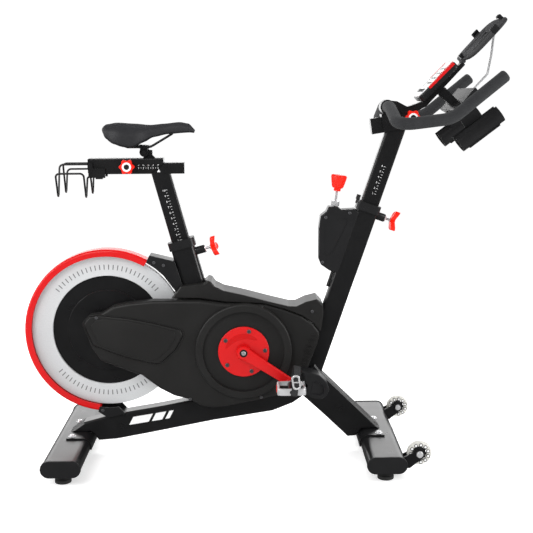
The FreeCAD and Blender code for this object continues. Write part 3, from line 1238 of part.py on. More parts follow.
base_bolt_holes = make_base()
make_frame(base_bolt_holes)
bracket = wheel_bracket()
nodes["wheel_brackets"] = [bracket, mirrored(bracket)]
nodes["right_transport_wheel"] = [transport_wheel(-1)]
nodes["left_transport_wheel"] = [transport_wheel(1)]
make_brake_arm()
make_post_hardware()
make_frame_hardware()
make_drive()
make_pedals()
make_flywheel()
make_guard()
make_covers()
make_lever()
make_cable()
make_cover_screws()
make_seat()
make_saddle()
make_rack()
make_bar_post()
make_bar_carriage()
make_handlebar()
make_holders()
make_console()
make_tray()

os.makedirs("parts", exist_ok=True)
for name, solids in nodes.items():
    shape = solids[0] if len(solids) == 1 else Part.makeCompound(solids)
    shape.translate(V(-MIDDLE_X, 0, 0))
    shape.exportStep("parts/%s.step" % name)
    count = len(shape.Solids)
    box = shape.BoundBox
    print("%-22s solids %2d valid %s volume %9.0f box %6.0f %6.0f %6.0f %6.0f %6.0f %6.0f"
          % (name, count, shape.isValid(), shape.Volume, box.XMin, box.XMax, box.YMin, box.YMax,
             box.ZMin, box.ZMax))
everything = Part.makeCompound([solid for solids in nodes.values() for solid in solids])
print(len(nodes), "nodes", everything.BoundBox)
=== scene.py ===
import json
from math import cos, pi, radians, sin, tan

import bmesh
import bpy
from mathutils import Matrix, Vector


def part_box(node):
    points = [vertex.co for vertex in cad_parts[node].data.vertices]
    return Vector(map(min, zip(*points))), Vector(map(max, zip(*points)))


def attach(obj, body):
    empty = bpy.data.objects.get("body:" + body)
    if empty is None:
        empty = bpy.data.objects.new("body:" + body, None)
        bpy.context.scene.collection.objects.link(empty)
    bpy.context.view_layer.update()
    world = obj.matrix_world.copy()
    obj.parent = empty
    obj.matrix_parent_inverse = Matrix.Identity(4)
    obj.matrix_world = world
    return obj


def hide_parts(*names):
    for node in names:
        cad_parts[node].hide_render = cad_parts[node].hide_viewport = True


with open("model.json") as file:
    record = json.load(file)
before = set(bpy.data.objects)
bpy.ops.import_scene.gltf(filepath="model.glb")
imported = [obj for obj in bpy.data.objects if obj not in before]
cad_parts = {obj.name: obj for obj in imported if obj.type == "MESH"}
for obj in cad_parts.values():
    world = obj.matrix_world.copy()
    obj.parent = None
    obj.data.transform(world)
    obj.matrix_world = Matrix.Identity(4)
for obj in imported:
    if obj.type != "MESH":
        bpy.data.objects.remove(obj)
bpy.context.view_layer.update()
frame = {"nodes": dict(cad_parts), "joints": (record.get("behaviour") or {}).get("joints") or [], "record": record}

MM = 0.001
RIGHT, LEFT = -1, 1
X, Y, Z = Vector((1, 0, 0)), Vector((0, 1, 0)), Vector((0, 0, 1))

# ---- places, from the frame ---------------------------------------------------------------

joints = {joint["name"]: joint for joint in frame["joints"]}


def joint_place(name):
    return Vector(joints[name]["pos_m"])


def joint_axis(name):
    return Vector(joints[name]["axis"]).normalized()


def low(node):
    return Vector(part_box(node)[0])


def high(node):
    return Vector(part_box(node)[1])


def middle(node):
    return (low(node) + high(node)) / 2


HUB = joint_place("flywheel_spin")
CRANK = joint_place("crank_spin")
PEDALS = {RIGHT: joint_place("right_pedal_spin"), LEFT: joint_place("left_pedal_spin")}
SEAT_LINE = joint_axis("seat_height")
HEAD_LINE = joint_axis("bar_height")
SEAT_AHEAD = joint_axis("seat_pin_pull")
HEAD_AHEAD = joint_axis("bar_pin_pull")
LEVER_LINE = -joint_axis("resistance_push")

# ---- camera -------------------------------------------------------------------------------

CAMERA_PLACE = Vector((-0.021, -3.245, 1.1502))
CAMERA_DOWN = radians(9.4)
CAMERA_YAW = radians(0.737)
CAMERA_ROLL = radians(-0.45)

camera = bpy.data.objects.new("camera", bpy.data.cameras.new("camera"))
camera.data.lens = 70
camera.data.sensor_width = 36
camera.data.clip_end = 50
camera.matrix_world = (Matrix.Translation(CAMERA_PLACE) @ Matrix.Rotation(-CAMERA_YAW, 4, "Z")
                       @ Matrix.Rotation(pi / 2 - CAMERA_DOWN, 4, "X")
                       @ Matrix.Rotation(CAMERA_ROLL, 4, "Z"))
bpy.context.collection.objects.link(camera)
bpy.context.scene.camera = camera


# ---- shaders ------------------------------------------------------------------------------

class Value:
    """A number that varies over a surface, so that shader maths reads as an expression."""

    def __init__(self, graph, socket):
        self.graph = graph
        self.socket = socket

    def maths(self, operation, first, second=None):
        inputs = {0: first} if second is None else {0: first, 1: second}
        return self.graph.node("Math", {"operation": operation}, inputs)

    def __add__(self, other):
        return self.maths("ADD", self, other)

    def __radd__(self, other):
        return self.maths("ADD", other, self)

    def __sub__(self, other):
        return self.maths("SUBTRACT", self, other)

    def __mul__(self, other):
        return self.maths("MULTIPLY", self, other)

    def __rmul__(self, other):
        return self.maths("MULTIPLY", other, self)

    def __gt__(self, other):
        return self.maths("GREATER_THAN", self, other)

    def __lt__(self, other):
        return self.maths("LESS_THAN", self, other)


class Graph:
    """The nodes of one shader."""

    def __init__(self, tree):
        self.tree = tree

    def join(self, socket, value):
        if isinstance(value, Value):
            self.tree.links.new(value.socket, socket)
        else:
            socket.default_value = value

    def node(self, kind, settings=None, inputs=None, output=0):
        made = self.tree.nodes.new("ShaderNode" + kind)
        for name, value in (settings or {}).items():
            setattr(made, name, value)
        for name, value in (inputs or {}).items():
            self.join(made.inputs[name], value)
        return Value(self, made.outputs[output])


class Finish(Graph):
    """One material: a Principled surface, and whatever varies over it."""

    def __init__(self, name, colour, roughness, metallic=0.0, **fixed):
        self.material = bpy.data.materials.new(name)
        self.material.use_nodes = True
        super().__init__(self.material.node_tree)
        self.surface = self.tree.nodes["Principled BSDF"]
        self.put("Base Color", (*colour, 1))
        self.put("Roughness", roughness)
        self.put("Metallic", metallic)
        for socket, value in fixed.items():
            self.put(socket.replace("_", " ").title().replace("Ior", "IOR"), value)

    def put(self, socket, value):
        self.join(self.surface.inputs[socket], value)

    def places(self):
        return self.node("TexCoord", output="Object")

    def part(self, vector, index):
        return self.node("SeparateXYZ", None, {0: vector}, output=index)

    def noise(self, scale, detail=3.0, stretch=None):
        vector = self.places()
        if stretch is not None:
            vector = self.node("Mapping", None, {"Vector": vector, "Scale": stretch})
        return self.node("TexNoise", None, {"Vector": vector, "Scale": scale, "Detail": detail})

    def cells(self, scale):
        return self.node("TexVoronoi", {"feature": "F1"},
                         {"Vector": self.places(), "Scale": scale})

    def bump(self, height, strength, distance):
        self.put("Normal", self.node("Bump", None, {"Height": height, "Strength": strength,
                                                     "Distance": distance}))

    def blend(self, mask, first, second):
        """A colour that goes from the first to the second as the mask rises."""
        return self.node("Mix", {"data_type": "RGBA"},
                         {0: mask, 6: self.opaque(first), 7: self.opaque(second)}, output=2)

    @staticmethod
    def opaque(colour):
        return (*colour, 1) if isinstance(colour, tuple) else colour


def powder_coat():
    """Satin black paint with the faint orange peel of baked powder."""
    finish = Finish("powder coat", (0.012, 0.012, 0.013), 0.36, specular_ior_level=0.4)
    cloud = finish.noise(18.0)
    finish.put("Base Color", finish.blend(cloud, (0.006, 0.006, 0.0065), (0.011, 0.011, 0.0115)))
    finish.put("Roughness", 0.24 + 0.10 * cloud)
    finish.bump(finish.noise(700.0), 0.08, 0.0003)
    return finish.material


def moulded(name, dark, light, roughness, grain=1200.0, depth=0.08):
    """Matt moulded plastic with a spark-eroded grain and slight wear in the sheen."""
    finish = Finish(name, dark, roughness, specular_ior_level=0.28)
    cloud = finish.noise(9.0)
    finish.put("Base Color", finish.blend(cloud, dark, light))
    finish.put("Roughness", (roughness - 0.06) + 0.12 * cloud)
    finish.bump(finish.noise(grain, 5.0), depth, 0.0003)
    return finish.material


def gloss_paint(name, dark, light, roughness, coat):
    """Sprayed colour under a clear coat, with faint peel."""
    finish = Finish(name, dark, roughness, coat_weight=coat, coat_roughness=0.12,
                    specular_ior_level=0.25)
    cloud = finish.noise(6.0)
    finish.put("Base Color", finish.blend(cloud, dark, light))
    finish.put("Roughness", (roughness - 0.04) + 0.10 * finish.noise(60.0))
    finish.bump(finish.noise(420.0), 0.05, 0.0004)
    return finish.material


def plated():
    finish = Finish("chrome", (0.82, 0.82, 0.83), 0.14, 0.6)
    finish.put("Roughness", 0.08 + 0.20 * finish.noise(140.0))
    return finish.material


def machined(name, dark, light):
    """Bare turned steel, with fine lines across it."""
    finish = Finish(name, light, 0.34, 0.7)
    lines = finish.noise(60.0, 4.0, (1.0, 40.0, 1.0))
    finish.put("Base Color", finish.blend(lines, dark, light))
    finish.put("Roughness", 0.26 + 0.2 * lines)
    finish.bump(lines, 0.1, 0.0002)
    return finish.material


RING_MARK_STEP = 4.0
RING_MARK_INNER = 0.196
RING_MARK_OUTER = 0.212


def silver_ring():
    """The flywheel's silver band, with plain grey tick marks in two arcs."""
    finish = Finish("silver paint", (0.66, 0.67, 0.68), 0.42, 0.25)
    places = finish.places()
    across = finish.part(places, 0) - HUB.x
    up = finish.part(places, 2) - HUB.z
    radius = finish.node("Math", {"operation": "SQRT"}, {0: across * across + up * up})
    turn = finish.node("Math", {"operation": "ARCTAN2"}, {0: up, 1: across}) * (180 / pi)
    step = finish.node("Math", {"operation": "PINGPONG"}, {0: turn, 1: RING_MARK_STEP / 2})
    band = (radius > RING_MARK_INNER) * (radius < RING_MARK_OUTER)
    upright = finish.node("Math", {"operation": "ABSOLUTE"}, {0: turn})
    arcs = (upright > 38.0) * (upright < 142.0)
    marks = band * arcs * (step < 0.42)
    cloud = finish.noise(260.0, 4.0)
    paint = finish.blend(cloud, (0.60, 0.61, 0.62), (0.74, 0.75, 0.76))
    finish.put("Base Color", finish.blend(marks, paint, (0.16, 0.16, 0.165)))
    finish.put("Roughness", 0.38 + 0.12 * cloud)
    finish.bump(finish.noise(900.0), 0.08, 0.0003)
    return finish.material


def foam():
    """Closed-cell foam: dull, with small open cells."""
    finish = Finish("grip foam", (0.020, 0.020, 0.022), 0.88, specular_ior_level=0.3,
                    sheen_weight=0.05, sheen_roughness=0.5)
    cells = finish.cells(900.0)
    finish.put("Base Color", finish.blend(finish.noise(40.0), (0.017, 0.0175, 0.019),
                                          (0.030, 0.031, 0.033)))
    finish.put("Roughness", 0.80 + 0.12 * cells)
    finish.bump(cells, 0.35, 0.0005)
    return finish.material


def rubber(name, shade):
    finish = Finish(name, (shade, shade, shade), 0.7)
    cloud = finish.noise(30.0)
    finish.put("Base Color", finish.blend(cloud, (shade * 0.8,) * 3, (shade * 1.5,) * 3))
    finish.put("Roughness", 0.62 + 0.2 * cloud)
    finish.bump(finish.noise(1100.0), 0.2, 0.0003)
    return finish.material


def saddle_cover():
    """Black stretch vinyl with a pebbled grain."""
    finish = Finish("saddle vinyl", (0.016, 0.016, 0.018), 0.55, specular_ior_level=0.35)
    grain = finish.node("TexVoronoi", {"feature": "DISTANCE_TO_EDGE"},
                        {"Vector": finish.places(), "Scale": 620.0})
    finish.put("Base Color", finish.blend(finish.noise(14.0), (0.013, 0.013, 0.015),
                                          (0.026, 0.026, 0.029)))
    finish.put("Roughness", 0.50 + 0.16 * finish.noise(50.0))
    finish.bump(grain, 0.4, 0.0006)
    return finish.material


def cast_silver():
    """Bead-blasted cast alloy."""
    finish = Finish("cast alloy", (0.70, 0.70, 0.71), 0.3, 0.5)
    cloud = finish.noise(45.0)
    finish.put("Base Color", finish.blend(cloud, (0.58, 0.58, 0.59), (0.84, 0.84, 0.85)))
    finish.put("Roughness", 0.22 + 0.2 * cloud)
    finish.bump(finish.noise(900.0), 0.15, 0.0003)
    return finish.material


def clear_tread():
    """Milky clear polyurethane."""
    finish = Finish("clear tread", (0.80, 0.79, 0.74), 0.22, transmission_weight=0.45, ior=1.45)
    cloud = finish.noise(70.0)
    finish.put("Base Color", finish.blend(cloud, (0.72, 0.71, 0.66), (0.88, 0.87, 0.83)))
    finish.put("Roughness", 0.15 + 0.15 * cloud)
    return finish.material


def webbing():
    """Woven strap: a fine diagonal rib."""
    finish = Finish("strap webbing", (0.02, 0.02, 0.021), 0.8)
    places = finish.places()
    rib = finish.node("TexWave", {"wave_type": "BANDS", "bands_direction": "DIAGONAL"},
                      {"Vector": places, "Scale": 260.0, "Distortion": 0.4})
    finish.put("Base Color", finish.blend(rib, (0.012, 0.012, 0.013), (0.034, 0.034, 0.036)))
    finish.put("Roughness", 0.72 + 0.18 * rib)
    finish.bump(rib, 0.5, 0.0004)
    return finish.material


def flat_print(name, shade):
    """Screen-printed ink, a little uneven."""
    finish = Finish(name, (shade, shade, shade), 0.5)
    cloud = finish.noise(300.0)
    finish.put("Base Color", finish.blend(cloud, (shade * 0.88,) * 3, (shade,) * 3))
    finish.put("Roughness", 0.42 + 0.15 * cloud)
    return finish.material


def screen():
    """A grey liquid-crystal panel under a clear window."""
    finish = Finish("display", (0.70, 0.72, 0.70), 0.3, coat_weight=0.3, coat_roughness=0.05)
    cloud = finish.noise(25.0)
    finish.put("Base Color", finish.blend(cloud, (0.66, 0.68, 0.66), (0.76, 0.78, 0.76)))
    finish.put("Roughness", 0.22 + 0.1 * cloud)
    return finish.material


def silver_trim():
    finish = Finish("silver trim", (0.70, 0.70, 0.71), 0.3, 0.35, coat_weight=0.3,
                    coat_roughness=0.1)
    cloud = finish.noise(80.0)
    finish.put("Base Color", finish.blend(cloud, (0.66, 0.66, 0.67), (0.78, 0.78, 0.79)))
    finish.put("Roughness", 0.24 + 0.12 * cloud)
    finish.bump(finish.noise(1200.0), 0.08, 0.0002)
    return finish.material


FRAME_BLACK = powder_coat()
COVER_BLACK = moulded("cover plastic", (0.011, 0.0106, 0.0103), (0.018, 0.0175, 0.017), 0.44)
PART_BLACK = moulded("moulded black", (0.009, 0.009, 0.0095), (0.015, 0.015, 0.016), 0.38)
DARK_GLOSS = gloss_paint("gloss black", (0.010, 0.010, 0.011), (0.016, 0.016, 0.017), 0.22, 0.4)
RED_PAINT = gloss_paint("red paint", (0.50, 0.002, 0.003), (0.60, 0.004, 0.005), 0.34, 0.15)
RED_PLASTIC = gloss_paint("red plastic", (0.74, 0.008, 0.001), (0.82, 0.013, 0.002), 0.36, 0.06)
TRAY_BLACK = moulded("tray plastic", (0.024, 0.024, 0.025), (0.032, 0.032, 0.034), 0.7,
                     grain=40.0, depth=0.01)
# Painted shade: a darker, glossier red for the crescent laid on the crank disc.
PAINTED_SHADE_RED = gloss_paint("painted shade red", (0.42, 0.003, 0.004), (0.50, 0.005, 0.005), 0.16, 0.5)
CHROME = plated()
STEEL = machined("machined steel", (0.56, 0.56, 0.57), (0.74, 0.74, 0.75))
DARK_STEEL = machined("dark steel", (0.10, 0.10, 0.105), (0.17, 0.17, 0.18))
SILVER = silver_ring()
FOAM = foam()
RUBBER = rubber("foot rubber", 0.018)
VINYL = saddle_cover()
ALLOY = cast_silver()
TREAD = clear_tread()
STRAP = webbing()
INK = flat_print("white print", 0.82)
DARK_INK = flat_print("dark print", 0.05)
SCREEN = screen()
SILVER_TRIM = silver_trim()

SLOT_FINISH = {
    "black_frame": FRAME_BLACK, "black_plastic": PART_BLACK, "cover_plastic": COVER_BLACK,
    "gloss_black": DARK_GLOSS, "red_metal": RED_PAINT, "red_plastic": RED_PLASTIC,
    "chrome": CHROME, "steel": STEEL, "flywheel_ring": SILVER, "rubber": RUBBER, "foam": FOAM,
    "wheel_clear": TREAD, "saddle_skin": VINYL, "wire_black": FRAME_BLACK,
}

NODE_FINISH = {"cover_screws": DARK_STEEL, "disc_screws": DARK_STEEL}

for entry in frame["record"]["subparts"]:
    finish = NODE_FINISH.get(entry["node"], SLOT_FINISH[entry["material_slot"]])
    for place in frame["nodes"][entry["node"]].material_slots:
        place.material = finish


# ---- modelling helpers --------------------------------------------------------------------

def facing(point, direction, upward=None):
    """Stands a shape that was made on +Z on a point, along a direction, its own X upward."""
    z = direction.normalized()
    x = (upward or (X if abs(z.x) < 0.9 else Y)).copy()
    x = (x - z * x.dot(z)).normalized()
    y = z.cross(x)
    turned = Matrix((x, y, z)).transposed().to_4x4()
    return Matrix.Translation(point) @ turned


def in_plane(point, turn=0.0):
    """Lays a shape drawn in XY into the side view, its +Z towards the bike's left."""
    return facing(point, Y, X * cos(turn) + Z * sin(turn)) @ Matrix.Scale(-1, 4, Y)


class Piece:
    """One piece in the making. Shapes are added to it, each with its place and finish."""

    def __init__(self, name, body, finish):
        self.name = name
        self.body = body
        self.finishes = [finish]
        self.mesh = bmesh.new()

    def add(self, shape, at=None, finish=None):
        finish = finish or self.finishes[0]
        if finish not in self.finishes:
            self.finishes.append(finish)
        for face in shape.faces:
            face.material_index = self.finishes.index(finish)
            face.smooth = True
        if at is not None:
            shape.transform(at)
        bmesh.ops.recalc_face_normals(shape, faces=shape.faces)
        holder = bpy.data.meshes.new("holder")
        shape.to_mesh(holder)
        shape.free()
        self.mesh.from_mesh(holder)
        bpy.data.meshes.remove(holder)

    def done(self, replaces=(), sharp=38, subdivide=0):
        data = bpy.data.meshes.new(self.name)
        self.mesh.to_mesh(data)
        self.mesh.free()
        for finish in self.finishes:
            data.materials.append(finish)
        data.set_sharp_from_angle(angle=radians(sharp))
        piece = bpy.data.objects.new(self.name, data)
        bpy.context.collection.objects.link(piece)
        if subdivide:
            smoother = piece.modifiers.new("smoother", "SUBSURF")
            smoother.levels = smoother.render_levels = subdivide
        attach(piece, self.body)
        if replaces:
            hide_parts(*replaces)
        return piece


def rounded(corners, radius, steps=5):
    """Points of an outline whose corners are arcs; a radius each, or one for all."""
    count = len(corners)
    radii = radius if isinstance(radius, (list, tuple)) else [radius] * count
    points = []
    for index, corner in enumerate(corners):
        here = Vector(corner)
        back = (Vector(corners[index - 1]) - here).normalized()
        ahead = (Vector(corners[(index + 1) % count]) - here).normalized()
        half = back.angle(ahead) / 2
        if radii[index] <= 0 or half > radians(88):
            points.append(here)
            continue
        reach = radii[index] / tan(half)
        centre = here + (back + ahead).normalized() * (radii[index] / sin(half))
        first = here + back * reach - centre
        sweep = first.angle_signed(here + ahead * reach - centre)
        for step in range(steps + 1):
            turn = -sweep * step / steps
            points.append(centre + Matrix.Rotation(turn, 2) @ first)
    return points


def rectangle(start, end, half):
    """Corners of a rectangle along X, as wide either side of the axis."""
    return [(start, -half), (end, -half), (end, half), (start, half)]


def bevel_all(shape, edges, size, segments=3):
    bmesh.ops.bevel(shape, geom=edges, offset=size, offset_type="OFFSET", affect="EDGES",
                    segments=segments, profile=0.5, material=-1, clamp_overlap=True)


def slab(outline, thick, edge=0.0, segments=3, low_edge=True):
    """A flat plate from an outline in XY, its long edges rounded, from z 0 up."""
    shape = bmesh.new()
    corners = [shape.verts.new((point[0], point[1], 0)) for point in outline]
    base = shape.faces.new(corners)
    made = bmesh.ops.extrude_face_region(shape, geom=[base])
    top = [item for item in made["geom"] if isinstance(item, bmesh.types.BMVert)]
    bmesh.ops.translate(shape, vec=(0, 0, thick), verts=top)
    bmesh.ops.recalc_face_normals(shape, faces=shape.faces)
    if edge:
        rims = [rim for rim in shape.edges
                if all(abs(corner.co.z - thick) < 1e-7 for corner in rim.verts)
                or (low_edge and all(abs(corner.co.z) < 1e-7 for corner in rim.verts))]
        bevel_all(shape, rims, edge, segments)
    return shape


def framed(outer, inner, thick, edge=0.0, segments=2):
    """A plate with a window: two outlines with as many points each, bridged."""
    shape = bmesh.new()
    loops = []
    for outline in (outer, inner):
        ring = [shape.verts.new((point[0], point[1], 0)) for point in outline]
        loops += [shape.edges.new((ring[index - 1], ring[index])) for index in range(len(ring))]
    bmesh.ops.bridge_loops(shape, edges=loops)
    made = bmesh.ops.extrude_face_region(shape, geom=shape.faces[:])
    top = [item for item in made["geom"] if isinstance(item, bmesh.types.BMVert)]
    bmesh.ops.translate(shape, vec=(0, 0, thick), verts=top)
    bmesh.ops.recalc_face_normals(shape, faces=shape.faces)
    if edge:
        rims = [rim for rim in shape.edges if len(rim.link_faces) == 2
                and rim.calc_face_angle(0) > radians(60)
                and abs(rim.verts[0].co.z - rim.verts[1].co.z) < 1e-7]
        bevel_all(shape, rims, edge, segments)
    return shape


def turned(profile, steps=56):
    """A turned shape about +Z, from its half profile of radius and height."""
    shape = bmesh.new()
    points = [shape.verts.new((radius, 0, height)) for radius, height in profile]
    edges = [shape.edges.new(pair) for pair in zip(points, points[1:])]
    bmesh.ops.spin(shape, geom=points + edges, cent=(0, 0, 0), axis=(0, 0, 1), angle=2 * pi,
                   steps=steps, use_merge=True)
    bmesh.ops.remove_doubles(shape, verts=shape.verts, dist=1e-6)
    bmesh.ops.recalc_face_normals(shape, faces=shape.faces)
    return shape


def box(size, edge=0.0, segments=2):
    shape = bmesh.new()
    bmesh.ops.create_cube(shape, size=1.0)
    bmesh.ops.scale(shape, vec=size, verts=shape.verts)
    if edge:
        bevel_all(shape, shape.edges[:], edge, segments)
    return shape


def rod(points, radius, closed=False, sides=5, rounding=3):
    """A round bar along a smooth line through control points."""
    line = bpy.data.curves.new("line", "CURVE")
    line.dimensions = "3D"
    line.bevel_depth = radius
    line.bevel_resolution = sides
    line.use_fill_caps = True
    run = line.splines.new("NURBS")
    run.points.add(len(points) - 1)
    for place, point in zip(run.points, points):
        place.co = (*point, 1)
    run.order_u = min(rounding, len(points))
    run.use_endpoint_u = not closed
    run.use_cyclic_u = closed
    run.resolution_u = 8
    holder = bpy.data.objects.new("line", line)
    bpy.context.collection.objects.link(holder)
    solid = bpy.data.meshes.new_from_object(holder)
    shape = bmesh.new()
    shape.from_mesh(solid)
    bmesh.ops.remove_doubles(shape, verts=shape.verts, dist=1e-6)
    bpy.data.objects.remove(holder)
    bpy.data.meshes.remove(solid)
    return shape


def lettering(words, size, thick=0.15 * MM):
    """Printed figures, flat in XY and centred."""
    text = bpy.data.curves.new("figures", "FONT")
    text.body = words
    text.size = size
    text.extrude = thick
    text.align_x = "CENTER"
    text.align_y = "CENTER"
    holder = bpy.data.objects.new("figures", text)
    bpy.context.collection.objects.link(holder)
    solid = bpy.data.meshes.new_from_object(holder)
    shape = bmesh.new()
    shape.from_mesh(solid)
    bpy.data.objects.remove(holder)
    bpy.data.meshes.remove(solid)
    return shape


def shrunk(outline, share):
    """An outline drawn in towards its own middle."""
    middle_point = sum((Vector(point) for point in outline), Vector((0, 0))) / len(outline)
    return [middle_point + (Vector(point) - middle_point) * share for point in outline]


def shifted(x, y, z):
    return Matrix.Translation((x, y, z))


def side_lay(side, distance):
    """Lays a shape drawn in the side view onto the right or left side, standing outward."""
    return Matrix(((1, 0, 0, 0), (0, 0, side, side * distance), (0, 1, 0, 0), (0, 0, 0, 1)))


# ---- saddle -------------------------------------------------------------------------------

SADDLE_REAR = low("saddle").x
SADDLE_NOSE = high("saddle").x
SADDLE_LONG = SADDLE_NOSE - SADDLE_REAR
SADDLE_TOP = high("saddle").z
SADDLE_HALF = high("saddle").y


def smooth_run(stations, along):
    """A smooth curve through a few stations of place and value."""
    for (start, first), (end, second) in zip(stations, stations[1:]):
        if along <= end:
            part = max(0.0, (along - start) / (end - start))
            return first + (second - first) * (part * part * (3 - 2 * part))
    return stations[-1][1]


SADDLE_BLUNT = 1.9
WELT_STEPS = 60
SADDLE_WIDTHS = ((0.0, 0.40), (0.06, 0.80), (0.20, 1.0), (0.34, 0.88), (0.52, 0.50), (0.70, 0.32),
                 (0.92, 0.25), (1.0, 0.16))
SADDLE_TOPS = ((0.0, -13.0), (0.05, -5.0), (0.16, 0.0), (0.34, -3.0), (0.52, -8.0), (0.66, -4.5),
               (0.84, -0.5), (0.93, -5.0), (1.0, -22.0))
SADDLE_SKIRTS = ((0.0, -30.0), (0.05, -52.0), (0.14, -72.0), (0.24, -83.0), (0.33, -88.0),
                 (0.42, -72.0), (0.55, -50.0), (0.72, -40.0), (1.0, -34.5))


def saddle_section(along):
    """Half width, crown and skirt of the saddle at a share of its length."""
    blunt = min(1.0, max(0.0, 1 - (2 * along - 1) ** 2) ** 0.5 * SADDLE_BLUNT)
    return (SADDLE_HALF * smooth_run(SADDLE_WIDTHS, along) * blunt,
            smooth_run(SADDLE_TOPS, along) * MM, smooth_run(SADDLE_SKIRTS, along) * MM)


def make_saddle():
    """A foam saddle: a closed round form drawn out to the saddle's plan, crown and skirt."""
    shape = bmesh.new()
    bmesh.ops.create_uvsphere(shape, u_segments=48, v_segments=56, radius=1.0)
    bmesh.ops.rotate(shape, cent=(0, 0, 0), matrix=Matrix.Rotation(pi / 2, 3, "Y"),
                     verts=shape.verts)
    for vertex in shape.verts:
        x, y, z = vertex.co
        along = 0.5 - 0.5 * cos(pi * (0.5 + 0.5 * x))
        around = max((y * y + z * z) ** 0.5, 1e-9)
        side, rise = y / around, z / around
        end_round = min(1.0, (1 - x * x) ** 0.5 * SADDLE_BLUNT)
        width = SADDLE_HALF * smooth_run(SADDLE_WIDTHS, along) * end_round
        crown, skirt = saddle_section(along)[1:]
        centre = crown * 0.45 + skirt * 0.55
        if rise >= 0:
            lift = abs(rise) ** 0.85
            channel = 2.2 * MM * max(0.0, 1 - (side / 0.24) ** 2) ** 2
            channel *= max(0.0, 1 - ((along - 0.42) / 0.34) ** 2)
            height = centre + (crown - centre) * lift * end_round - channel
        else:
            tuck = 1 - abs(side) ** 2.4
            height = centre + (skirt - centre) * min(1.0, abs(rise) ** 0.5 * 1.15) * end_round
            height += tuck * 13 * MM * end_round
        vertex.co = (SADDLE_REAR + along * SADDLE_LONG, side * width, SADDLE_TOP + height)
    piece = Piece("saddle_cushion", "saddle", VINYL)
    piece.add(shape)
    cushion = piece.done(replaces=["saddle"], sharp=70, subdivide=1)
    welt = []
    for step in range(WELT_STEPS):
        turn = 2 * pi * step / WELT_STEPS
        along = 0.5 - 0.49 * cos(turn)
        side = RIGHT if step < WELT_STEPS / 2 else LEFT
        width, crown, skirt = saddle_section(along)
        height = (crown * 0.45 + skirt * 0.55) * 0.32 + skirt * 0.68
        welt.append(Vector((SADDLE_REAR + along * SADDLE_LONG, side * width * 0.93,
                            SADDLE_TOP + height)))
    trim = Piece("saddle_trim", "saddle", PART_BLACK)
    trim.add(rod(welt, 1.6 * MM, closed=True, sides=3))
    trim.done(sharp=80)


make_saddle()


# ---- knobs and pull pins ------------------------------------------------------------------

def lobed(lobes, radius, depth, count=96):
    """An outline that swells into lobes."""
    points = []
    for step in range(count):
        turn = 2 * pi * step / count
        reach = radius + depth * cos(lobes * turn)
        points.append(Vector((reach * cos(turn), reach * sin(turn))))
    return points


SIDE_KNOB_DEEP = 20 * MM


def make_side_knob(name, node):
    """A six-lobed clamping knob with a printed white ring and a black plug."""
    centre = joint_place(node + "_turn")
    face = Vector((centre.x, low(node).y, centre.z))
    at = facing(face + Y * SIDE_KNOB_DEEP, -Y)
    piece = Piece(name, node, RED_PLASTIC)
    piece.add(slab(lobed(6, 21.5 * MM, 2.6 * MM), 19 * MM, 3.5 * MM, 4), at)
    ring = [(8.5 * MM, 18 * MM), (8.5 * MM, 19.6 * MM), (14 * MM, 19.6 * MM), (14.6 * MM, 18 * MM)]
    piece.add(turned(ring, 48), at, INK)
    plug = [(0, 17 * MM), (8.4 * MM, 17 * MM), (8.4 * MM, 19.8 * MM), (7.4 * MM, 20.4 * MM),
            (3.6 * MM, 20.4 * MM), (3.0 * MM, 19.2 * MM), (0, 19.2 * MM)]
    piece.add(turned(plug, 32), at, PART_BLACK)
    neck = high(node).y - face.y - SIDE_KNOB_DEEP
    boss = [(0, -neck + 0.5 * MM), (4 * MM, -neck + 0.5 * MM), (4 * MM, -8 * MM),
            (11 * MM, -8 * MM), (12.5 * MM, 0.2 * MM), (0, 0.2 * MM)]
    piece.add(turned(boss, 32), at, PART_BLACK)
    piece.done(replaces=[node])


make_side_knob("seat_clamp_knob", "seat_knob")
make_side_knob("bar_clamp_knob", "bar_knob")

PIN_BARREL = 36 * MM
WING_REACH = 34 * MM
SEAT_TUBE_HALF = 38 * MM
HEAD_TUBE_HALF = 33 * MM


def make_pull_pin(name, body, replaced, ahead, barrel_start):
    """A pull pin: a red knob with three flared wings on a bright stem."""
    at = facing(barrel_start, ahead, Z)
    piece = Piece(name, body, RED_PLASTIC)
    stem = [(0, -36 * MM), (3.9 * MM, -36 * MM), (3.9 * MM, PIN_BARREL + 8 * MM),
            (6.5 * MM, PIN_BARREL + 8 * MM), (6.5 * MM, PIN_BARREL + 12 * MM),
            (0, PIN_BARREL + 12 * MM)]
    piece.add(turned(stem, 24), at, STEEL)
    start = PIN_BARREL + 11 * MM
    hub = [(0, start), (8 * MM, start), (9 * MM, start + 3 * MM), (10 * MM, start + 11 * MM),
           (8 * MM, start + 15 * MM), (3 * MM, start + 16.5 * MM), (0, start + 16.5 * MM)]
    piece.add(turned(hub, 32), at)
    for wing in range(3):
        outline = [(-9 * MM, 2 * MM), (9 * MM, 2 * MM), (13 * MM, WING_REACH),
                   (-13 * MM, WING_REACH)]
        shape = slab(rounded(outline, [0, 0, 12 * MM, 12 * MM]), 14 * MM, 5 * MM)
        for vertex in shape.verts:
            reach = vertex.co.y / WING_REACH
            vertex.co.z = vertex.co.z + 9 * MM * reach * reach - 3 * MM
        shape.transform(shifted(0, 0, start + 2 * MM)
                        @ Matrix.Rotation(2 * pi * wing / 3 - pi / 2 + 0.35, 4, "Z"))
        piece.add(shape, at)
    piece.done(replaces=[replaced])
    sleeve = Piece(name + "_barrel", "frame", PART_BLACK)
    outer = [(11.6 * MM, 0.2 * MM), (12.6 * MM, 0.2 * MM), (12.6 * MM, PIN_BARREL - 9 * MM),
             (11.9 * MM, PIN_BARREL - 8 * MM), (11.6 * MM, PIN_BARREL - 8 * MM)]
    sleeve.add(turned(outer + outer[:1], 40), at)
    sleeve.done()


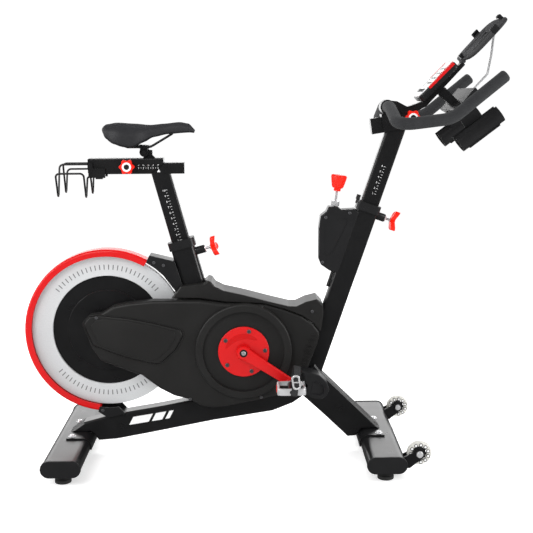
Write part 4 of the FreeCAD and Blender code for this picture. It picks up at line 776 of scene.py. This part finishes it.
# Where each pin's line crosses the middle of its tube.
SEAT_PIN_PLACE = Vector((-0.2369, 0, 0.656))
BAR_PIN_PLACE = Vector((0.3361, 0, 0.784))


def make_pull_pins():
    make_pull_pin("seat_pull_pin", "seat_pin", "seat_pin_knob", SEAT_AHEAD,
                  SEAT_PIN_PLACE + SEAT_AHEAD * SEAT_TUBE_HALF)
    make_pull_pin("bar_pull_pin", "bar_pin", "bar_pin_knob", HEAD_AHEAD,
                  BAR_PIN_PLACE + HEAD_AHEAD * HEAD_TUBE_HALF)


make_pull_pins()

KNOB_DROP = 19 * MM
KNOB_TALL = 42 * MM
THREAD_PITCH = 1.5 * MM
THREAD_TURNS = 24
THREAD_START = -34 * MM


def make_resistance_knob():
    """A fluted cone with a soft crown and a collar, on a threaded rod."""
    base = joint_place("resistance_turn") - LEVER_LINE * (KNOB_DROP / LEVER_LINE.z)
    at = facing(base, LEVER_LINE, -Y)
    shape = slab(lobed(4, 19.5 * MM, 1.2 * MM, 64), KNOB_TALL, 6 * MM, 5)
    bmesh.ops.bisect_plane(shape, geom=shape.verts[:] + shape.edges[:] + shape.faces[:],
                           plane_co=(0, 0, KNOB_TALL / 2), plane_no=(0, 0, 1))
    for vertex in shape.verts:
        spread = 0.80 + 0.48 * min(1.0, vertex.co.z / KNOB_TALL) ** 0.8
        vertex.co.x *= spread
        vertex.co.y *= spread
    piece = Piece("resistance_grip", "resistance_knob", RED_PLASTIC)
    piece.add(shape, at @ shifted(0, 0, 9 * MM))
    collar = [(4.3 * MM, 0.2 * MM), (10 * MM, 0.2 * MM), (11 * MM, 2 * MM), (11 * MM, 8 * MM),
              (13 * MM, 11 * MM), (4.3 * MM, 11 * MM), (4.3 * MM, 0.2 * MM)]
    piece.add(turned(collar, 40), at)
    piece.done(replaces=["resistance_knob"])
    thread = []
    for step in range(THREAD_TURNS):
        thread += [(3.4 * MM, THREAD_START + step * THREAD_PITCH),
                   (4.05 * MM, THREAD_START + (step + 0.5) * THREAD_PITCH)]
    shank_end = THREAD_START - 40 * MM
    rod_piece = Piece("resistance_thread", "resistance_shaft", STEEL)
    rod_piece.add(turned([(0, shank_end), (3.6 * MM, shank_end)] + thread
                         + [(3.4 * MM, 22 * MM), (0, 22 * MM)], 24), at)
    rod_piece.done(replaces=["resistance_shaft"])


make_resistance_knob()


# ---- cranks and pedals --------------------------------------------------------------------

CRANK_LONG = (PEDALS[RIGHT] - CRANK).xz.length
ARM_OUTER = 108 * MM
ARM_INNER = 92 * MM


def make_crank(side, node):
    """A tapered crank with rounded edges, a domed boss and a bolted end."""
    eye = PEDALS[side]
    along = Vector((eye.x - CRANK.x, 0, eye.z - CRANK.z)).normalized()
    at = facing(Vector((CRANK.x, side * ARM_INNER, CRANK.z)), Y * side, along)
    piece = Piece(node + "_arm", "crankset", RED_PAINT)
    thick = ARM_OUTER - ARM_INNER
    blade = [(0, -20 * MM), (CRANK_LONG * 0.35, -16.5 * MM), (CRANK_LONG, -13.5 * MM),
             (CRANK_LONG + 14 * MM, -10 * MM), (CRANK_LONG + 14 * MM, 10 * MM),
             (CRANK_LONG, 13.5 * MM), (CRANK_LONG * 0.35, 16.5 * MM), (0, 20 * MM)]
    radii = [4 * MM, 60 * MM, 20 * MM, 9 * MM, 9 * MM, 20 * MM, 60 * MM, 4 * MM]
    piece.add(slab(rounded(blade, radii), thick - 1.5 * MM, 4.5 * MM, 4), at)
    boss = [(0, -10 * MM), (20.5 * MM, -10 * MM), (22 * MM, -2 * MM), (23 * MM, thick - 7 * MM),
            (20 * MM, thick - 1.5 * MM), (16 * MM, thick), (12.5 * MM, thick),
            (12 * MM, thick - 3 * MM), (0, thick - 3 * MM)]
    piece.add(turned(boss, 56), at)
    bolt = [(0, thick - 3 * MM), (6.8 * MM, thick - 3 * MM), (6.8 * MM, thick + 0.6 * MM),
            (5.8 * MM, thick + 1.4 * MM), (3 * MM, thick + 1.4 * MM), (2.4 * MM, thick - 1 * MM),
            (0, thick - 1 * MM)]
    piece.add(turned(bolt, 32), at, STEEL)
    ring = [(6.9 * MM, thick - 3 * MM), (6.9 * MM, thick - 0.6 * MM), (12.0 * MM, thick + 0.2 * MM),
            (12.6 * MM, thick - 0.4 * MM), (12.6 * MM, thick - 3 * MM)]
    piece.add(turned(ring + ring[:1], 40), at, PART_BLACK)
    end = [(0, 0), (15.5 * MM, 0), (16 * MM, 2 * MM), (16 * MM, thick - 3 * MM),
           (13 * MM, thick), (0, thick)]
    piece.add(turned(end, 48), at @ shifted(CRANK_LONG, 0, 0))
    piece.done(replaces=[node])


make_crank(RIGHT, "right_crank")
make_crank(LEFT, "left_crank")

PEDAL_LONG = 88 * MM
PEDAL_WIDE = 92 * MM
PEDAL_HIGH = 24 * MM
PEDAL_WALL = 8 * MM
PEDAL_TEETH = 7


def make_pedal(side, node):
    """A cast cage pedal with toothed plates, its barrel and a reflector."""
    centre = PEDALS[side]
    piece = Piece(node + "_cage", node, ALLOY)
    half_long, half_wide = PEDAL_LONG / 2, PEDAL_WIDE / 2
    outer = rounded(rectangle(-half_long, half_long, half_wide), 14 * MM)
    inner = rounded(rectangle(-half_long + PEDAL_WALL, half_long - PEDAL_WALL,
                              half_wide - PEDAL_WALL), PEDAL_WALL)
    level = Matrix.Translation(centre - Z * (PEDAL_HIGH / 2 - 1.5 * MM))
    piece.add(framed(outer, inner, PEDAL_HIGH - 3 * MM, 1.4 * MM), level)
    for end in (-1, 1):
        for tooth in range(PEDAL_TEETH):
            y = (tooth - (PEDAL_TEETH - 1) / 2) * 11 * MM
            for up in (-1, 1):
                spot = centre + X * end * (half_long - 3.6 * MM) + Y * y
                piece.add(turned([(0, 0), (3 * MM, 0), (1.2 * MM, 2.4 * MM), (0, 2.4 * MM)], 8),
                          facing(spot + Z * up * (PEDAL_HIGH / 2 - 1.6 * MM), Z * up))
    barrel = [(6.2 * MM, -half_wide + 3 * MM), (10 * MM, -half_wide + 3 * MM),
              (11 * MM, -half_wide + 8 * MM), (10 * MM, 0), (11 * MM, half_wide - 8 * MM),
              (10 * MM, half_wide - 3 * MM), (6.2 * MM, half_wide - 3 * MM),
              (6.2 * MM, -half_wide + 3 * MM)]
    piece.add(turned(barrel, 40), facing(centre, Y), PART_BLACK)
    cap = [(0, 0), (9 * MM, 0), (9 * MM, 2 * MM), (6 * MM, 3.6 * MM), (0, 3.6 * MM)]
    piece.add(turned(cap, 32), facing(centre + Y * side * (half_wide - 3.4 * MM), Y * side),
              PART_BLACK)
    for y in (-1, 1):
        cross = box((PEDAL_LONG - 12 * MM, 10 * MM, 6 * MM), 1.2 * MM)
        piece.add(cross, Matrix.Translation(centre + Y * y * 17 * MM), PART_BLACK)
    reflector = box((3 * MM, 40 * MM, 13 * MM), 1.0 * MM)
    piece.add(reflector, Matrix.Translation(centre - X * (half_long + 0.4 * MM)), RED_PLASTIC)
    piece.done(replaces=[node], sharp=32)


TOE_HOOD = [(46, 12), (46, -13), (66, -24), (92, -28), (106, -20), (115, 0), (108, 26), (88, 46),
            (62, 56), (30, 62)]
TOE_PANEL = [(54, -10), (98, -16), (103, 16), (66, 34)]
TOE_HALF = 32 * MM
STRAP_LEAD = 14 * MM


def make_toe_hood(side, body, node):
    """A moulded toe hood that is open to the shoe, with its strap and buckle."""
    centre = PEDALS[side]
    outline = rounded([(x * MM, z * MM) for x, z in TOE_HOOD],
                      [0, 4 * MM, 9 * MM, 12 * MM, 10 * MM, 16 * MM, 18 * MM, 18 * MM, 9 * MM, 0])
    shape = slab(outline, 2 * TOE_HALF, 9 * MM, 4)
    open_faces = [face for face in shape.faces if face.normal.x < -0.6
                  or (face.calc_center_median().x < 47 * MM and face.normal.x < -0.1)]
    bmesh.ops.delete(shape, geom=open_faces, context="FACES")
    at = Matrix.Translation(centre) @ in_plane(Vector((0, -TOE_HALF, 0)))
    piece = Piece(node + "_hood", body, PART_BLACK)
    for vertex in shape.verts:
        reach = max(0.0, (vertex.co.x - 46 * MM) / (70 * MM))
        across = vertex.co.z - TOE_HALF
        vertex.co.z = TOE_HALF + across * (1 - 0.22 * reach * reach)
    bmesh.ops.recalc_face_normals(shape, faces=shape.faces)
    bmesh.ops.solidify(shape, geom=shape.faces[:], thickness=2.4 * MM)
    piece.add(shape, at)
    bridge = box((10 * MM, 50 * MM, 14 * MM), 2 * MM)
    piece.add(bridge, Matrix.Translation(centre + X * 46.5 * MM))
    panel = [(x * MM, z * MM) for x, z in TOE_PANEL]
    border = rounded(panel, [5 * MM, 12 * MM, 12 * MM, 8 * MM])
    inset = rounded(shrunk(panel, 0.84), [4 * MM, 10 * MM, 10 * MM, 6 * MM])
    for face in (RIGHT, LEFT):
        place = Matrix.Translation(centre) @ side_lay(face, TOE_HALF - 4.2 * MM)
        piece.add(framed(border, inset, 4.6 * MM, 0.9 * MM), place, DARK_GLOSS)
    half = PEDAL_WIDE / 2 + 3.2 * MM
    route = [(half, -10 * MM), (half, 8 * MM), (half, 30 * MM), (half * 0.72, 62 * MM),
             (half * 0.3, 71 * MM), (-half * 0.3, 71 * MM), (-half * 0.72, 62 * MM),
             (-half, 30 * MM), (-half, 8 * MM), (-half, -10 * MM)]
    inner = [(y * 0.95, z - (1.8 * MM if z > 0 else 0)) for y, z in route]
    loop = smooth_outline(route) + smooth_outline(inner)[::-1]
    strap = slab(loop, 20 * MM, 0.5 * MM, 1)
    lean = Matrix.Rotation(radians(9), 4, "Y")
    stand = Matrix.Translation(centre + X * (STRAP_LEAD - 16 * MM)) @ lean @ facing(Vector(), X, Y)
    piece.add(strap, stand, STRAP)
    buckle_at = centre + X * (STRAP_LEAD - 1 * MM) + Y * side * (half + 2 * MM) + Z * 33 * MM
    ring = framed(rounded(rectangle(-13 * MM, 13 * MM, 23 * MM), 11 * MM),
                  rounded(rectangle(-7.5 * MM, 7.5 * MM, 17 * MM), 6.5 * MM),
                  5 * MM, 1.8 * MM, 3)
    piece.add(ring, facing(buckle_at, Y * side, X + Z * 0.16), CHROME)
    roller = box((16 * MM, 4 * MM, 4 * MM), 1.6 * MM)
    piece.add(roller, Matrix.Translation(buckle_at + Y * side * 1.6 * MM), CHROME)
    piece.done(replaces=[node], sharp=40)


def smooth_outline(points):
    """Points of a smooth open line that cuts inside the corners of a few guide points."""
    smooth = [Vector(point) for point in points]
    for round_off in range(2):
        finer = [smooth[0]]
        for first, second in zip(smooth, smooth[1:]):
            finer += [first * 0.75 + second * 0.25, first * 0.25 + second * 0.75]
        smooth = finer + [smooth[-1]]
    return smooth


for side, word in ((RIGHT, "right"), (LEFT, "left")):
    make_pedal(side, word + "_pedal")
    make_toe_hood(side, word + "_pedal", word + "_toe_cage")


# ---- moulded details of the covers --------------------------------------------------------

COVER_FACE = 78 * MM
HATCH_PROUD = -low("hatch_panels").y - COVER_FACE
NOSE_FACE = 62 * MM
HATCH_CORNER = 7.2 * MM
NOSE_RIBS = 10
NOSE_RIB_PITCH = 11.2 * MM
NOSE_RIB_START = 303 * MM
NOSE_RIB_EDGE = 134.062 * MM
NOSE_SLOPE = 0.354
HATCH_LINE = [(-551, 450), (-530, 473), (-501, 476), (-414, 466), (-335, 450), (-250, 427),
              (-244, 410), (-268, 366), (-314, 324), (-330, 320), (-418, 341), (-477, 363),
              (-523, 382)]


def make_cover_details(side, word):
    """A border rib and a raised field on the hatch, and a row of ribs on the cover's nose."""
    piece = Piece(word + "_cover_details", "frame", COVER_BLACK)
    outline = [Vector(point) * MM for point in HATCH_LINE]
    outer = rounded(shrunk(outline, 1.045), HATCH_CORNER, 4)
    inner = rounded(shrunk(outline, 1.015), HATCH_CORNER, 4)
    border = framed(outer, inner, 2.6 * MM, 0.9 * MM)
    piece.add(border, side_lay(side, COVER_FACE - 0.3 * MM))
    field = rounded(shrunk(outline, 0.86), HATCH_CORNER, 4)
    piece.add(slab(field, 1.8 * MM, 1.3 * MM, 3, False),
              side_lay(side, COVER_FACE + HATCH_PROUD - 0.2 * MM))
    for step in range(NOSE_RIBS):
        height = NOSE_RIB_START + NOSE_RIB_PITCH * step
        edge = NOSE_RIB_EDGE + NOSE_RIB_PITCH * step * NOSE_SLOPE
        rib = box((17 * MM, 3.2 * MM, 3.4 * MM), 1.2 * MM)
        piece.add(rib, shifted(edge, side * (NOSE_FACE + 0.6 * MM), height)
                  @ Matrix.Rotation(radians(6), 4, "Y"))
    piece.done(sharp=30)


DISC_OUTER = high("crank_discs").y
CRESCENT_RADIUS = 58 * MM
CRESCENT_DEEP = 19 * MM
CRESCENT_STEPS = 24


def make_disc_painted_shade(side, word):
    """A shallow crescent of painted shade on the face of the crank disc, above the boss: a thin slab of darker,
    glossier red.
    """
    outer, inner = [], []
    for step in range(CRESCENT_STEPS + 1):
        turn = radians(40 + 130 * step / CRESCENT_STEPS)
        reach = CRESCENT_RADIUS - CRESCENT_DEEP * sin(pi * step / CRESCENT_STEPS) ** 0.5
        outer.append((CRESCENT_RADIUS * cos(turn), CRESCENT_RADIUS * sin(turn)))
        inner.append((reach * cos(turn), reach * sin(turn)))
    loop = outer + inner[-2:0:-1]
    place = Vector((CRANK.x, side * (DISC_OUTER - 0.1 * MM), CRANK.z))
    at = facing(place, Y * side, X)
    crescent = slab(loop, 0.5 * MM)
    for vertex in crescent.verts:
        vertex.co.y *= -side
    # The crescent slab is painted shade on the disc, not a part of its own.
    piece = Piece(word + "_disc_painted_shade", "crankset", PAINTED_SHADE_RED)
    piece.add(crescent, at)
    piece.done(sharp=30)


for side, word in ((RIGHT, "right"), (LEFT, "left")):
    make_cover_details(side, word)
    make_disc_painted_shade(side, word)


# ---- transport wheels ---------------------------------------------------------------------

WHEEL_BEADS = 11
BEAD_RING = 27 * MM


def make_wheel(body, node):
    """A skate wheel: milky tread, a ring of dark-rimmed beads and a scalloped hub."""
    centre = joint_place(body + "_spin")
    half = (high(node).y - low(node).y) / 2
    radius = (high(node).z - low(node).z) / 2
    at = facing(centre, Y)
    piece = Piece(node + "_skate", body, TREAD)
    tread = [(23.5 * MM, -half + 1 * MM), (30 * MM, -half), (34.5 * MM, -half + 3 * MM),
             (radius, -half + 8 * MM), (radius, half - 8 * MM), (34.5 * MM, half - 3 * MM),
             (30 * MM, half), (23.5 * MM, half - 1 * MM), (23.5 * MM, -half + 1 * MM)]
    piece.add(turned(tread, 72), at)
    hub = slab(lobed(WHEEL_BEADS, 19.6 * MM, 1.8 * MM, 132), 2 * half - 3 * MM, 1.2 * MM, 2)
    piece.add(hub, at @ shifted(0, 0, -half + 1.5 * MM), PART_BLACK)
    for bead in range(WHEEL_BEADS):
        turn = 2 * pi * (bead + 0.5) / WHEEL_BEADS
        spot = Vector((BEAD_RING * cos(turn), BEAD_RING * sin(turn), 0))
        for face in (RIGHT, LEFT):
            here = at @ Matrix.Translation(spot + Z * face * (half - 1.2 * MM))
            turn_out = here if face > 0 else here @ Matrix.Rotation(pi, 4, "X")
            rim = [(4.1 * MM, 0), (4.1 * MM, 1.5 * MM), (5.6 * MM, 1.5 * MM), (5.6 * MM, 0)]
            piece.add(turned(rim, 20), turn_out, PART_BLACK)
            bead_top = [(4.0 * MM, 0), (3.4 * MM, 1.6 * MM), (1.8 * MM, 2.4 * MM), (0, 2.6 * MM)]
            piece.add(turned(bead_top, 16), turn_out, INK)
    piece.done(replaces=[node], sharp=45)


make_wheel("right_wheel", "right_transport_wheel")
make_wheel("left_wheel", "left_transport_wheel")


# ---- console and tablet tray --------------------------------------------------------------

CONSOLE_TILT = radians(45)
CONSOLE_LONG = 150 * MM
CONSOLE_HALF = 64 * MM
CONSOLE_KEYS = 4
READOUT_ROWS = 4
READOUT_CELLS = 3


def make_console():
    """A tilted case with a silver and red front, a window and round keys."""
    start = Vector((low("console").x, 0, low("console").z + 14 * MM))
    along = X * cos(CONSOLE_TILT) + Z * sin(CONSOLE_TILT)
    outward = -X * sin(CONSOLE_TILT) + Z * cos(CONSOLE_TILT)
    at = facing(start + along * CONSOLE_LONG / 2, outward, along)
    piece = Piece("console_case", "bar_carriage", PART_BLACK)
    long, half = CONSOLE_LONG / 2, CONSOLE_HALF
    base = rounded(rectangle(-long, long, half), 14 * MM, 6)
    tray = slab(base, 22 * MM, 5 * MM, 3)
    piece.add(tray, at @ shifted(0, 0, -20 * MM))
    bezel = rounded(rectangle(-long + 2 * MM, long - 2 * MM, half - 2 * MM), 12 * MM, 6)
    window = rounded(rectangle(-long + 46 * MM, long - 16 * MM, half - 14 * MM), 6 * MM, 6)
    front = framed(bezel, window, 3 * MM, 1 * MM)
    piece.add(front, at @ shifted(0, 0, 1.6 * MM), SILVER_TRIM)
    pane = rounded(rectangle(-long + 45 * MM, long - 15 * MM, half - 13 * MM), 6 * MM)
    piece.add(slab(pane, 1.6 * MM), at @ shifted(0, 0, 1.4 * MM), SCREEN)
    for edge in (-1, 1):
        wedge = rounded([(-long + 62 * MM, edge * (half - 2 * MM)),
                         (long - 4 * MM, edge * (half - 2 * MM)),
                         (long - 4 * MM, edge * (half - 12 * MM)),
                         (long - 40 * MM, edge * (half - 10 * MM))], 1.5 * MM)
        if edge > 0:
            wedge = wedge[::-1]
        piece.add(slab(wedge, 1.2 * MM, 0.3 * MM, 1), at @ shifted(0, 0, 4.2 * MM), RED_PAINT)
        strip = box((CONSOLE_LONG - 46 * MM, 2.4 * MM, 9 * MM), 0.8 * MM)
        piece.add(strip, at @ shifted(18 * MM, edge * (half - 0.4 * MM), -1 * MM), RED_PAINT)
    for row in range(READOUT_ROWS):
        for cell in range(READOUT_CELLS):
            block = box((9 * MM, 16 * MM - row * 2 * MM, 0.5 * MM), 0.1 * MM, 1)
            spot = shifted(-long + 60 * MM + row * 20 * MM, (cell - 1) * 26 * MM, 3.1 * MM)
            piece.add(block, at @ spot, DARK_INK)
    for key in range(CONSOLE_KEYS):
        button = turned([(0, 3.6 * MM), (6.5 * MM, 3.6 * MM), (7.5 * MM, 2.4 * MM),
                         (7.5 * MM, 0), (0, 0)], 32)
        spot = shifted(-long + 26 * MM, (key - 1.5) * 26 * MM, 2.5 * MM)
        piece.add(button, at @ spot)
    piece.done(replaces=["console"], sharp=35)


TRAY_TILT = radians(47)
TRAY_LONG = 168 * MM
TRAY_HALF = 135 * MM
TRAY_STEPS = 48
TRAY_SQUARENESS = 0.5


def make_tray():
    """The tablet tray: a rounded plate with a triangular window, clips and a wire prop."""
    along = X * cos(TRAY_TILT) + Z * sin(TRAY_TILT)
    outward = -X * sin(TRAY_TILT) + Z * cos(TRAY_TILT)
    foot = Vector((high("tablet_tray").x, 0, high("tablet_tray").z)) - along * TRAY_LONG
    foot = foot - (X * sin(TRAY_TILT) * 5 * MM)
    at = facing(foot + along * TRAY_LONG / 2 - outward * 4 * MM, outward, along)
    long = TRAY_LONG / 2
    plate = []
    for step in range(TRAY_STEPS):
        turn = 2 * pi * step / TRAY_STEPS
        reach_x = abs(cos(turn)) ** TRAY_SQUARENESS * (1 if cos(turn) >= 0 else -1)
        reach_y = abs(sin(turn)) ** TRAY_SQUARENESS * (1 if sin(turn) >= 0 else -1)
        plate.append(Vector((reach_x * long, reach_y * TRAY_HALF)))
    window = []
    for step in range(TRAY_STEPS):
        turn = 2 * pi * step / TRAY_STEPS
        reach = 13 * MM / max(cos((turn + pi / 3) % (2 * pi / 3) - pi / 3), 0.5) * 0.86
        window.append(Vector((18 * MM + reach * cos(turn), 1.5 * reach * sin(turn))))
    piece = Piece("tablet_plate", "bar_carriage", TRAY_BLACK)
    piece.add(framed(plate, window, 8 * MM, 2.2 * MM, 3), at)
    clip = [(0, 0), (9 * MM, 0), (9 * MM, 21 * MM), (-4 * MM, 21 * MM), (-4 * MM, 15 * MM),
            (0, 13 * MM)]
    for turn, reach, aside in ((0, long, -34 * MM), (pi, long, 0), (pi / 2, TRAY_HALF, -24 * MM),
                               (-pi / 2, TRAY_HALF, 24 * MM)):
        jaw = slab(rounded(clip, 2 * MM), 24 * MM, 1.4 * MM)
        stand = Matrix(((1, 0, 0, 0), (0, 0, 1, 0), (0, 1, 0, 0), (0, 0, 0, 1)))
        spot = Vector((reach - 9 * MM, aside - 12 * MM, 1 * MM))
        turned_about = Matrix.Rotation(turn, 4, "Z")
        piece.add(jaw, at @ turned_about @ Matrix.Translation(spot) @ stand, PART_BLACK)
        pad = box((1.6 * MM, 20 * MM, 10 * MM), 0.5 * MM)
        lining = shifted(spot.x - 0.6 * MM, spot.y + 12 * MM, 7 * MM)
        piece.add(pad, at @ turned_about @ lining, RUBBER)
    hinge = [(0, -24 * MM), (6 * MM, -24 * MM), (6 * MM, 24 * MM), (0, 24 * MM)]
    piece.add(turned(hinge, 24), at @ shifted(-long - 3 * MM, 0, 1 * MM)
              @ Matrix.Rotation(pi / 2, 4, "X"))
    for strip in (-60, 60):
        grip = box((90 * MM, 5 * MM, 1.6 * MM), 0.6 * MM)
        piece.add(grip, at @ shifted(-4 * MM, strip * MM, 8.4 * MM), RUBBER)
    back = foot + along * 122 * MM - outward * 7 * MM
    bend = Vector((high("tablet_tray").x - 30 * MM, 0, 1.262))
    for y in (-7, 7):
        shift = Y * y * MM
        wire = [back + shift, back + shift - outward * 10 * MM, bend + shift,
                Vector((bend.x - 10 * MM, 0, 1.208)) + shift, Vector((0.664, 0, 1.162)) + shift]
        piece.add(rod(wire, 2.4 * MM, sides=3, rounding=2), None, CHROME)
    piece.done(replaces=["tablet_tray"], sharp=35)


make_console()
make_tray()


# ---- printed scales and stripes -----------------------------------------------------------

def print_scale(name, body, start, along, count, pitch, aside, size):
    """A ruler of ticks and plain numbers, printed on the flat right side."""
    piece = Piece(name, body, INK)
    outward = -Y
    across = outward.cross(along)
    for step in range(count):
        long = (6.5 if step % 2 == 0 else 3.5) * MM
        tick = box((0.9 * MM, long, 0.2 * MM))
        piece.add(tick, facing(start + along * pitch * step, outward, along))
        if step % 2 == 0:
            figure = lettering(str(step // 2 + 1), size)
            spot = start + along * pitch * step + across * aside
            piece.add(figure, facing(spot, outward, -across))
    piece.done(sharp=80)


INK_PROUD = 0.1 * MM
SEAT_SCALE_START = (-0.2480, 0.704)
BAR_SCALE_START = (0.3610, 0.842)


def make_prints():
    x, z = SEAT_SCALE_START
    start = Vector((x, low("seat_post").y - INK_PROUD, z))
    print_scale("seat_height_scale", "seat_post", start, SEAT_LINE, 19, 9 * MM, 8 * MM, 8 * MM)
    x, z = BAR_SCALE_START
    start = Vector((x, low("bar_post").y - INK_PROUD, z))
    print_scale("bar_height_scale", "bar_post", start, HEAD_LINE, 11, 9 * MM, 8 * MM, 8 * MM)
    knob = joint_place("seat_knob_turn")
    start = Vector((knob.x + 34 * MM, low("seat_carriage").y - INK_PROUD, 0.930))
    print_scale("seat_slide_scale", "seat_carriage", start, X, 9, 7.5 * MM, 9 * MM, 7 * MM)
    pointer = Piece("seat_slide_pointer", "seat_post", INK)
    arrow = slab([(-5 * MM, -4 * MM), (5 * MM, -4 * MM), (0, 5 * MM)], 0.3 * MM)
    pointer.add(arrow, facing(start + X * 62 * MM - Z * 9 * MM, -Y, X))
    pointer.done(sharp=80)


STRIPE_LEAN = 18 * MM
STRIPE_GAP = 10 * MM
STRIPE_WIDTHS = (64 * MM, 34 * MM, 14 * MM)
STRIPE_START = Vector((-0.425, 0, 0.099))
BEAM_FACE = 28.2 * MM
BEAM_SLOPE = radians(9.2)


def make_beam_stripes():
    """Three plain slanted bars on each side of the lower beam."""
    piece = Piece("beam_stripes", "frame", INK)
    for side in (RIGHT, LEFT):
        at = facing(Vector((STRIPE_START.x, side * BEAM_FACE, STRIPE_START.z)), Y * side,
                    X * cos(BEAM_SLOPE) + Z * sin(BEAM_SLOPE))
        offset = 0.0
        for wide in STRIPE_WIDTHS:
            bar = [(offset, 6 * MM), (offset + wide, 6 * MM),
                   (offset + wide + STRIPE_LEAN, 30 * MM), (offset + STRIPE_LEAN, 30 * MM)]
            bar = [(x, -y * side) for x, y in bar]
            piece.add(slab(bar if side == RIGHT else bar[::-1], 0.2 * MM), at)
            offset += wide + STRIPE_GAP
    piece.done()


make_prints()
make_beam_stripes()


# ---- floor and light ----------------------------------------------------------------------

def make_floor():
    shape = bmesh.new()
    bmesh.ops.create_grid(shape, x_segments=1, y_segments=1, size=40)
    data = bpy.data.meshes.new("floor")
    shape.to_mesh(data)
    shape.free()
    finish = Finish("pale floor", (0.80, 0.80, 0.80), 0.9, specular_ior_level=0.0,
                    emission_color=(1, 1, 1, 1), emission_strength=0.44)
    finish.put("Roughness", 0.85 + 0.1 * finish.noise(2.0))
    data.materials.append(finish.material)
    floor = bpy.data.objects.new("floor", data)
    bpy.context.collection.objects.link(floor)
    floor.visible_glossy = False


def soft_light(name, place, aim, width, high, power, mirrored=True):
    """A soft panel; one that isn't mirrored gives light but no reflection of itself."""
    light = bpy.data.lights.new(name, "AREA")
    light.shape = "RECTANGLE"
    light.size = width
    light.size_y = high
    light.energy = power
    lamp = bpy.data.objects.new(name, light)
    lamp.matrix_world = facing(Vector(place), Vector(place) - Vector(aim))
    lamp.visible_glossy = mirrored
    bpy.context.collection.objects.link(lamp)


# How strongly the sky shows in reflections, and what more the view and soft light get.
SKY_BASE = 0.10
SKY_PLAIN = 0.92
SKY_FILL = 0.62


def make_studio():
    make_floor()
    world = bpy.data.worlds.new("studio")
    world.use_nodes = True
    sky = Graph(world.node_tree)
    plain = sky.node("LightPath", output="Is Camera Ray")
    fill = sky.node("LightPath", output="Is Diffuse Ray")
    background = sky.tree.nodes["Background"]
    sky.join(background.inputs["Color"], (1, 1, 1, 1))
    sky.join(background.inputs["Strength"], SKY_BASE + SKY_PLAIN * plain + SKY_FILL * fill)
    bpy.context.scene.world = world
    bpy.context.scene.view_settings.view_transform = "Standard"
    soft_light("key", (-1.4, -2.6, 2.6), (0, 0, 0.6), 1.6, 1.6, 46)
    soft_light("side", (2.8, -0.9, 1.5), (0.1, 0, 0.7), 0.8, 2.2, 55)
    soft_light("rear", (-2.9, -0.6, 1.6), (-0.2, 0, 0.6), 0.8, 2.0, 40)
    soft_light("back", (0.0, 3.2, 1.1), (0, 0, 0.5), 5.0, 1.6, 60)
    soft_light("top", (0.2, 1.2, 2.6), (0, 0, 0.3), 2.6, 1.0, 55, False)


make_studio()
